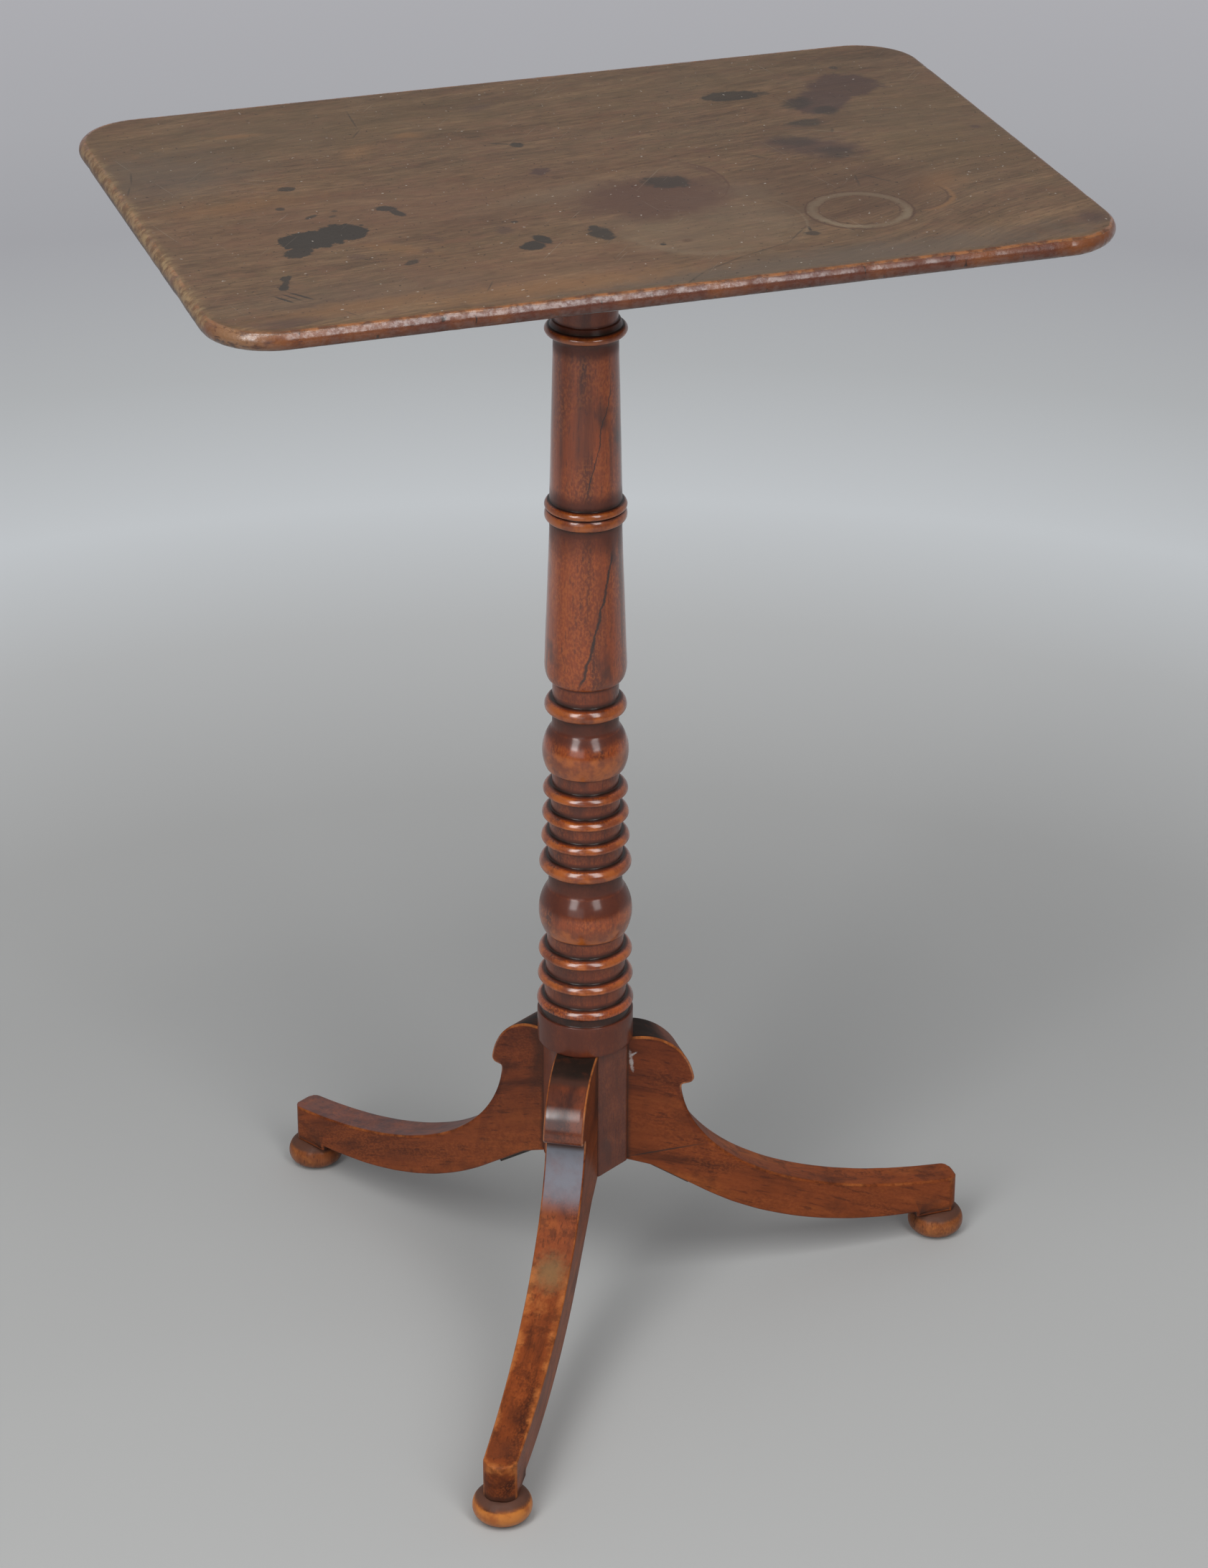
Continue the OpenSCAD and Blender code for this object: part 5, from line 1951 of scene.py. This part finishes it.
@dataclass
class Hidden:
    """The pieces under the top and under the column, which keep their own meshes."""

    wood: bpy.types.Material
    iron: bpy.types.Material
    steel: bpy.types.Material

    def dress(self) -> None:
        """Puts the materials on the nodes."""
        chosen = {"top_block": self.wood, "tenon_wedge": self.wood, "leg_brace": self.iron}
        chosen |= {"block_screws": self.steel, "brace_screws": self.steel}
        for name, material in chosen.items():
            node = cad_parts[name]
            node.data.materials.clear()
            node.data.materials.append(material)
            LOG.info("%s: material %s", name, material.name)


# Stage


@dataclass(frozen=True)
class Shot:
    """The photograph's camera, in mm and degrees, in a frame turned with the object by turn."""

    distance: float = 2277.0
    height: float = 1521.0
    yaw: float = 0.265
    pitch: float = 27.298
    roll: float = 0.183
    turn: float = 18.35
    focal: float = 6270.0
    picture_height: float = 2184.0

    def place(self) -> None:
        """Makes the camera; its right, up and back follow from yaw, pitch and roll and are turned by turn."""
        yaw, pitch, roll, turn = (math.radians(v) for v in (self.yaw, self.pitch, self.roll, self.turn))
        right = Vector((math.cos(yaw), -math.sin(yaw), 0.0))
        ahead = Vector((math.sin(yaw) * math.cos(pitch), math.cos(yaw) * math.cos(pitch), -math.sin(pitch)))
        up = right.cross(ahead)
        rolled_right = math.cos(roll) * right + math.sin(roll) * up
        rolled_up = -math.sin(roll) * right + math.cos(roll) * up
        stand = Matrix((rolled_right, rolled_up, -ahead)).transposed().to_4x4()
        stand.translation = Vector((0.0, -self.distance * MM, self.height * MM))
        data = bpy.data.cameras.new("camera")
        data.sensor_fit = "AUTO"
        data.sensor_width = 36.0
        data.lens = self.focal * 36.0 / self.picture_height
        data.clip_start, data.clip_end = 0.05, 60.0
        camera = bpy.data.objects.new("camera", data)
        bpy.context.scene.collection.objects.link(camera)
        camera.matrix_world = Matrix.Rotation(-turn, 4, "Z") @ stand
        bpy.context.scene.camera = camera


@dataclass(frozen=True)
class SoftBox:
    """A rectangular lamp that looks at the table; its place is given by azimuth and elevation round the
    table.
    """

    name: str
    azimuth: float
    elevation: float
    distance: float
    width: float
    height: float
    power: float
    color: Color = (1.0, 1.0, 1.0)
    aim: Color = (0.0, 0.0, 0.35)

    def place(self) -> None:
        """Makes the lamp."""
        a, e = math.radians(self.azimuth), math.radians(self.elevation)
        back = Vector((math.sin(a) * math.cos(e), -math.cos(a) * math.cos(e), math.sin(e)))
        data = bpy.data.lights.new(self.name, "AREA")
        data.shape = "RECTANGLE"
        data.size, data.size_y = self.width, self.height
        data.energy = self.power
        data.color = self.color
        lamp = bpy.data.objects.new(self.name, data)
        bpy.context.scene.collection.objects.link(lamp)
        lamp.location = Vector(self.aim) + back * self.distance
        lamp.rotation_mode = "QUATERNION"
        lamp.rotation_quaternion = (-back).to_track_quat("-Z", "Y")


SOFT_BOXES = (
    SoftBox("left_box", -51.0, 46.0, 2.3, 0.78, 2.6, 43.0),
    SoftBox("right_box", 14.0, 46.0, 2.3, 0.75, 2.6, 31.0),
    SoftBox("fill_box", -42.0, 12.0, 3.2, 2.2, 1.4, 9.0, (0.93, 0.96, 1.0)),
)
# Distance from the table in m, and the floor's glow there
GLOW_REACH = 3.0
GLOW = (
    (0.25, (0.01, 0.01, 0.01)),
    (0.45, (0.025, 0.025, 0.025)),
    (0.66, (0.05, 0.05, 0.05)),
    (0.95, (0.15, 0.155, 0.16)),
    (1.19, (0.27, 0.29, 0.31)),
    (1.5, (0.19, 0.2, 0.21)),
    (1.88, (0.15, 0.15, 0.17)),
    (2.2, (0.2, 0.2, 0.22)),
    (3.0, (0.28, 0.275, 0.3)),
)


@dataclass(frozen=True)
class Stage:
    """The plain floor, the lamps and the world's even light."""

    floor_size: float = 40.0
    floor_color: Color = (0.4, 0.402, 0.396)
    front_light: Color = (0.2, 0.204, 0.212)
    back_light: Color = (0.41, 0.415, 0.43)
    behind: tuple[float, float, float] = (0.315, 0.949, 0.0)
    roughness: float = 0.9
    specular: float = 0.1

    def build(self) -> None:
        """Makes the floor, the lamps and the world."""
        half = self.floor_size / 2
        corners = np.array([[-half, -half, 0], [half, -half, 0], [half, half, 0], [-half, half, 0]])
        mesh = bpy.data.meshes.new("floor")
        mesh.from_pydata(corners.tolist(), [], [[0, 1, 2, 3]])
        floor = bpy.data.objects.new("floor", mesh)
        bpy.context.scene.collection.objects.link(floor)
        floor.data.materials.append(self.floor_material())
        for box in SOFT_BOXES:
            box.place()
        self.light_world()

    def light_world(self) -> None:
        """Gives the world an even light that is stronger from behind the table than from the front."""
        world = bpy.data.worlds.new("even_light")
        bpy.context.scene.world = world
        world.use_nodes = True
        g = Graph(world.node_tree)
        facing = g.vector("DOT_PRODUCT", g.add("ShaderNodeTexCoord").outputs["Generated"], self.behind)
        color = g.mix(g.ramp(facing, -0.2, 0.8), self.front_light, self.back_light)
        g.links.new(color, world.node_tree.nodes["Background"].inputs["Color"])

    def floor_material(self) -> bpy.types.Material:
        """A matt grey floor that glows a little far behind the table, as a lit backdrop does.

        Returns:
            The material.
        """
        material, g, shader = new_material("floor_grey")
        place = g.place()
        away = g.vector("LENGTH", place)
        facing = g.vector("DOT_PRODUCT", g.vector("NORMALIZE", place), self.behind)
        glow = g.add("ShaderNodeValToRGB", {0: g.math("DIVIDE", away, GLOW_REACH)})
        stops = glow.color_ramp.elements
        stops[0].position, stops[0].color = 0.0, (0.0, 0.0, 0.0, 1.0)
        stops[1].position, stops[1].color = 1.0, (*GLOW[-1][1], 1.0)
        for distance, color in GLOW[:-1]:
            stops.new(distance / GLOW_REACH).color = (*color, 1.0)
        shader.inputs["Base Color"].default_value = (*self.floor_color, 1.0)
        light_path = g.add("ShaderNodeLightPath").outputs
        rays = ("Is Camera Ray", "Is Glossy Ray", "Is Transmission Ray")
        seen = g.most(*(light_path[ray] for ray in rays))
        behind = g.times(g.ramp(facing, -0.3, 0.3), seen)
        shown = g.mix(behind, (0.0, 0.0, 0.0), glow.outputs[0])
        g.links.new(shown, shader.inputs["Emission Color"])
        shader.inputs["Emission Strength"].default_value = 1.0
        shader.inputs["Roughness"].default_value = self.roughness
        shader.inputs["Specular IOR Level"].default_value = self.specular
        return material


LEGS = (
    Leg("leg_right", 0.0, seed=1),
    Leg("leg_back", 120.0, seed=2, dusty=0.24),
    # The front leg carries the painted reflection under its nose.
    Leg("leg_front", 240.0, seed=3, sheen_and_dust=0.9, worn=0.7),
)
FEET = (Foot("foot_right", 0.0), Foot("foot_back", 120.0), Foot("foot_front", 240.0, worn=1.0))


def main() -> None:
    """Builds the table, its finishes and the stage."""
    logging.basicConfig(level=logging.INFO, format="%(name)s: %(message)s")
    bpy.context.scene.view_settings.view_transform = "Standard"
    Shot().place()
    groups = {
        "grain": grain_group(),
        "fleck": fleck_group(),
        "wear": wear_group(),
        "spot": spot_group(),
        "arc": arc_group(),
    }
    polish, leg_polish, foot_polish = (f.material(groups) for f in (COLUMN_FINISH, LEG_FINISH, FOOT_FINISH))
    Board().build(TopFinish().material(groups))
    Column().build(polish)
    for leg in LEGS:
        leg.build(leg_polish)
    for foot in FEET:
        foot.build(foot_polish)
    Hidden(BlockFinish().material(groups), BRACE_FINISH.material(), SCREW_FINISH.material()).dress()
    Stage().build()


if __name__ == "__main__":
    main()
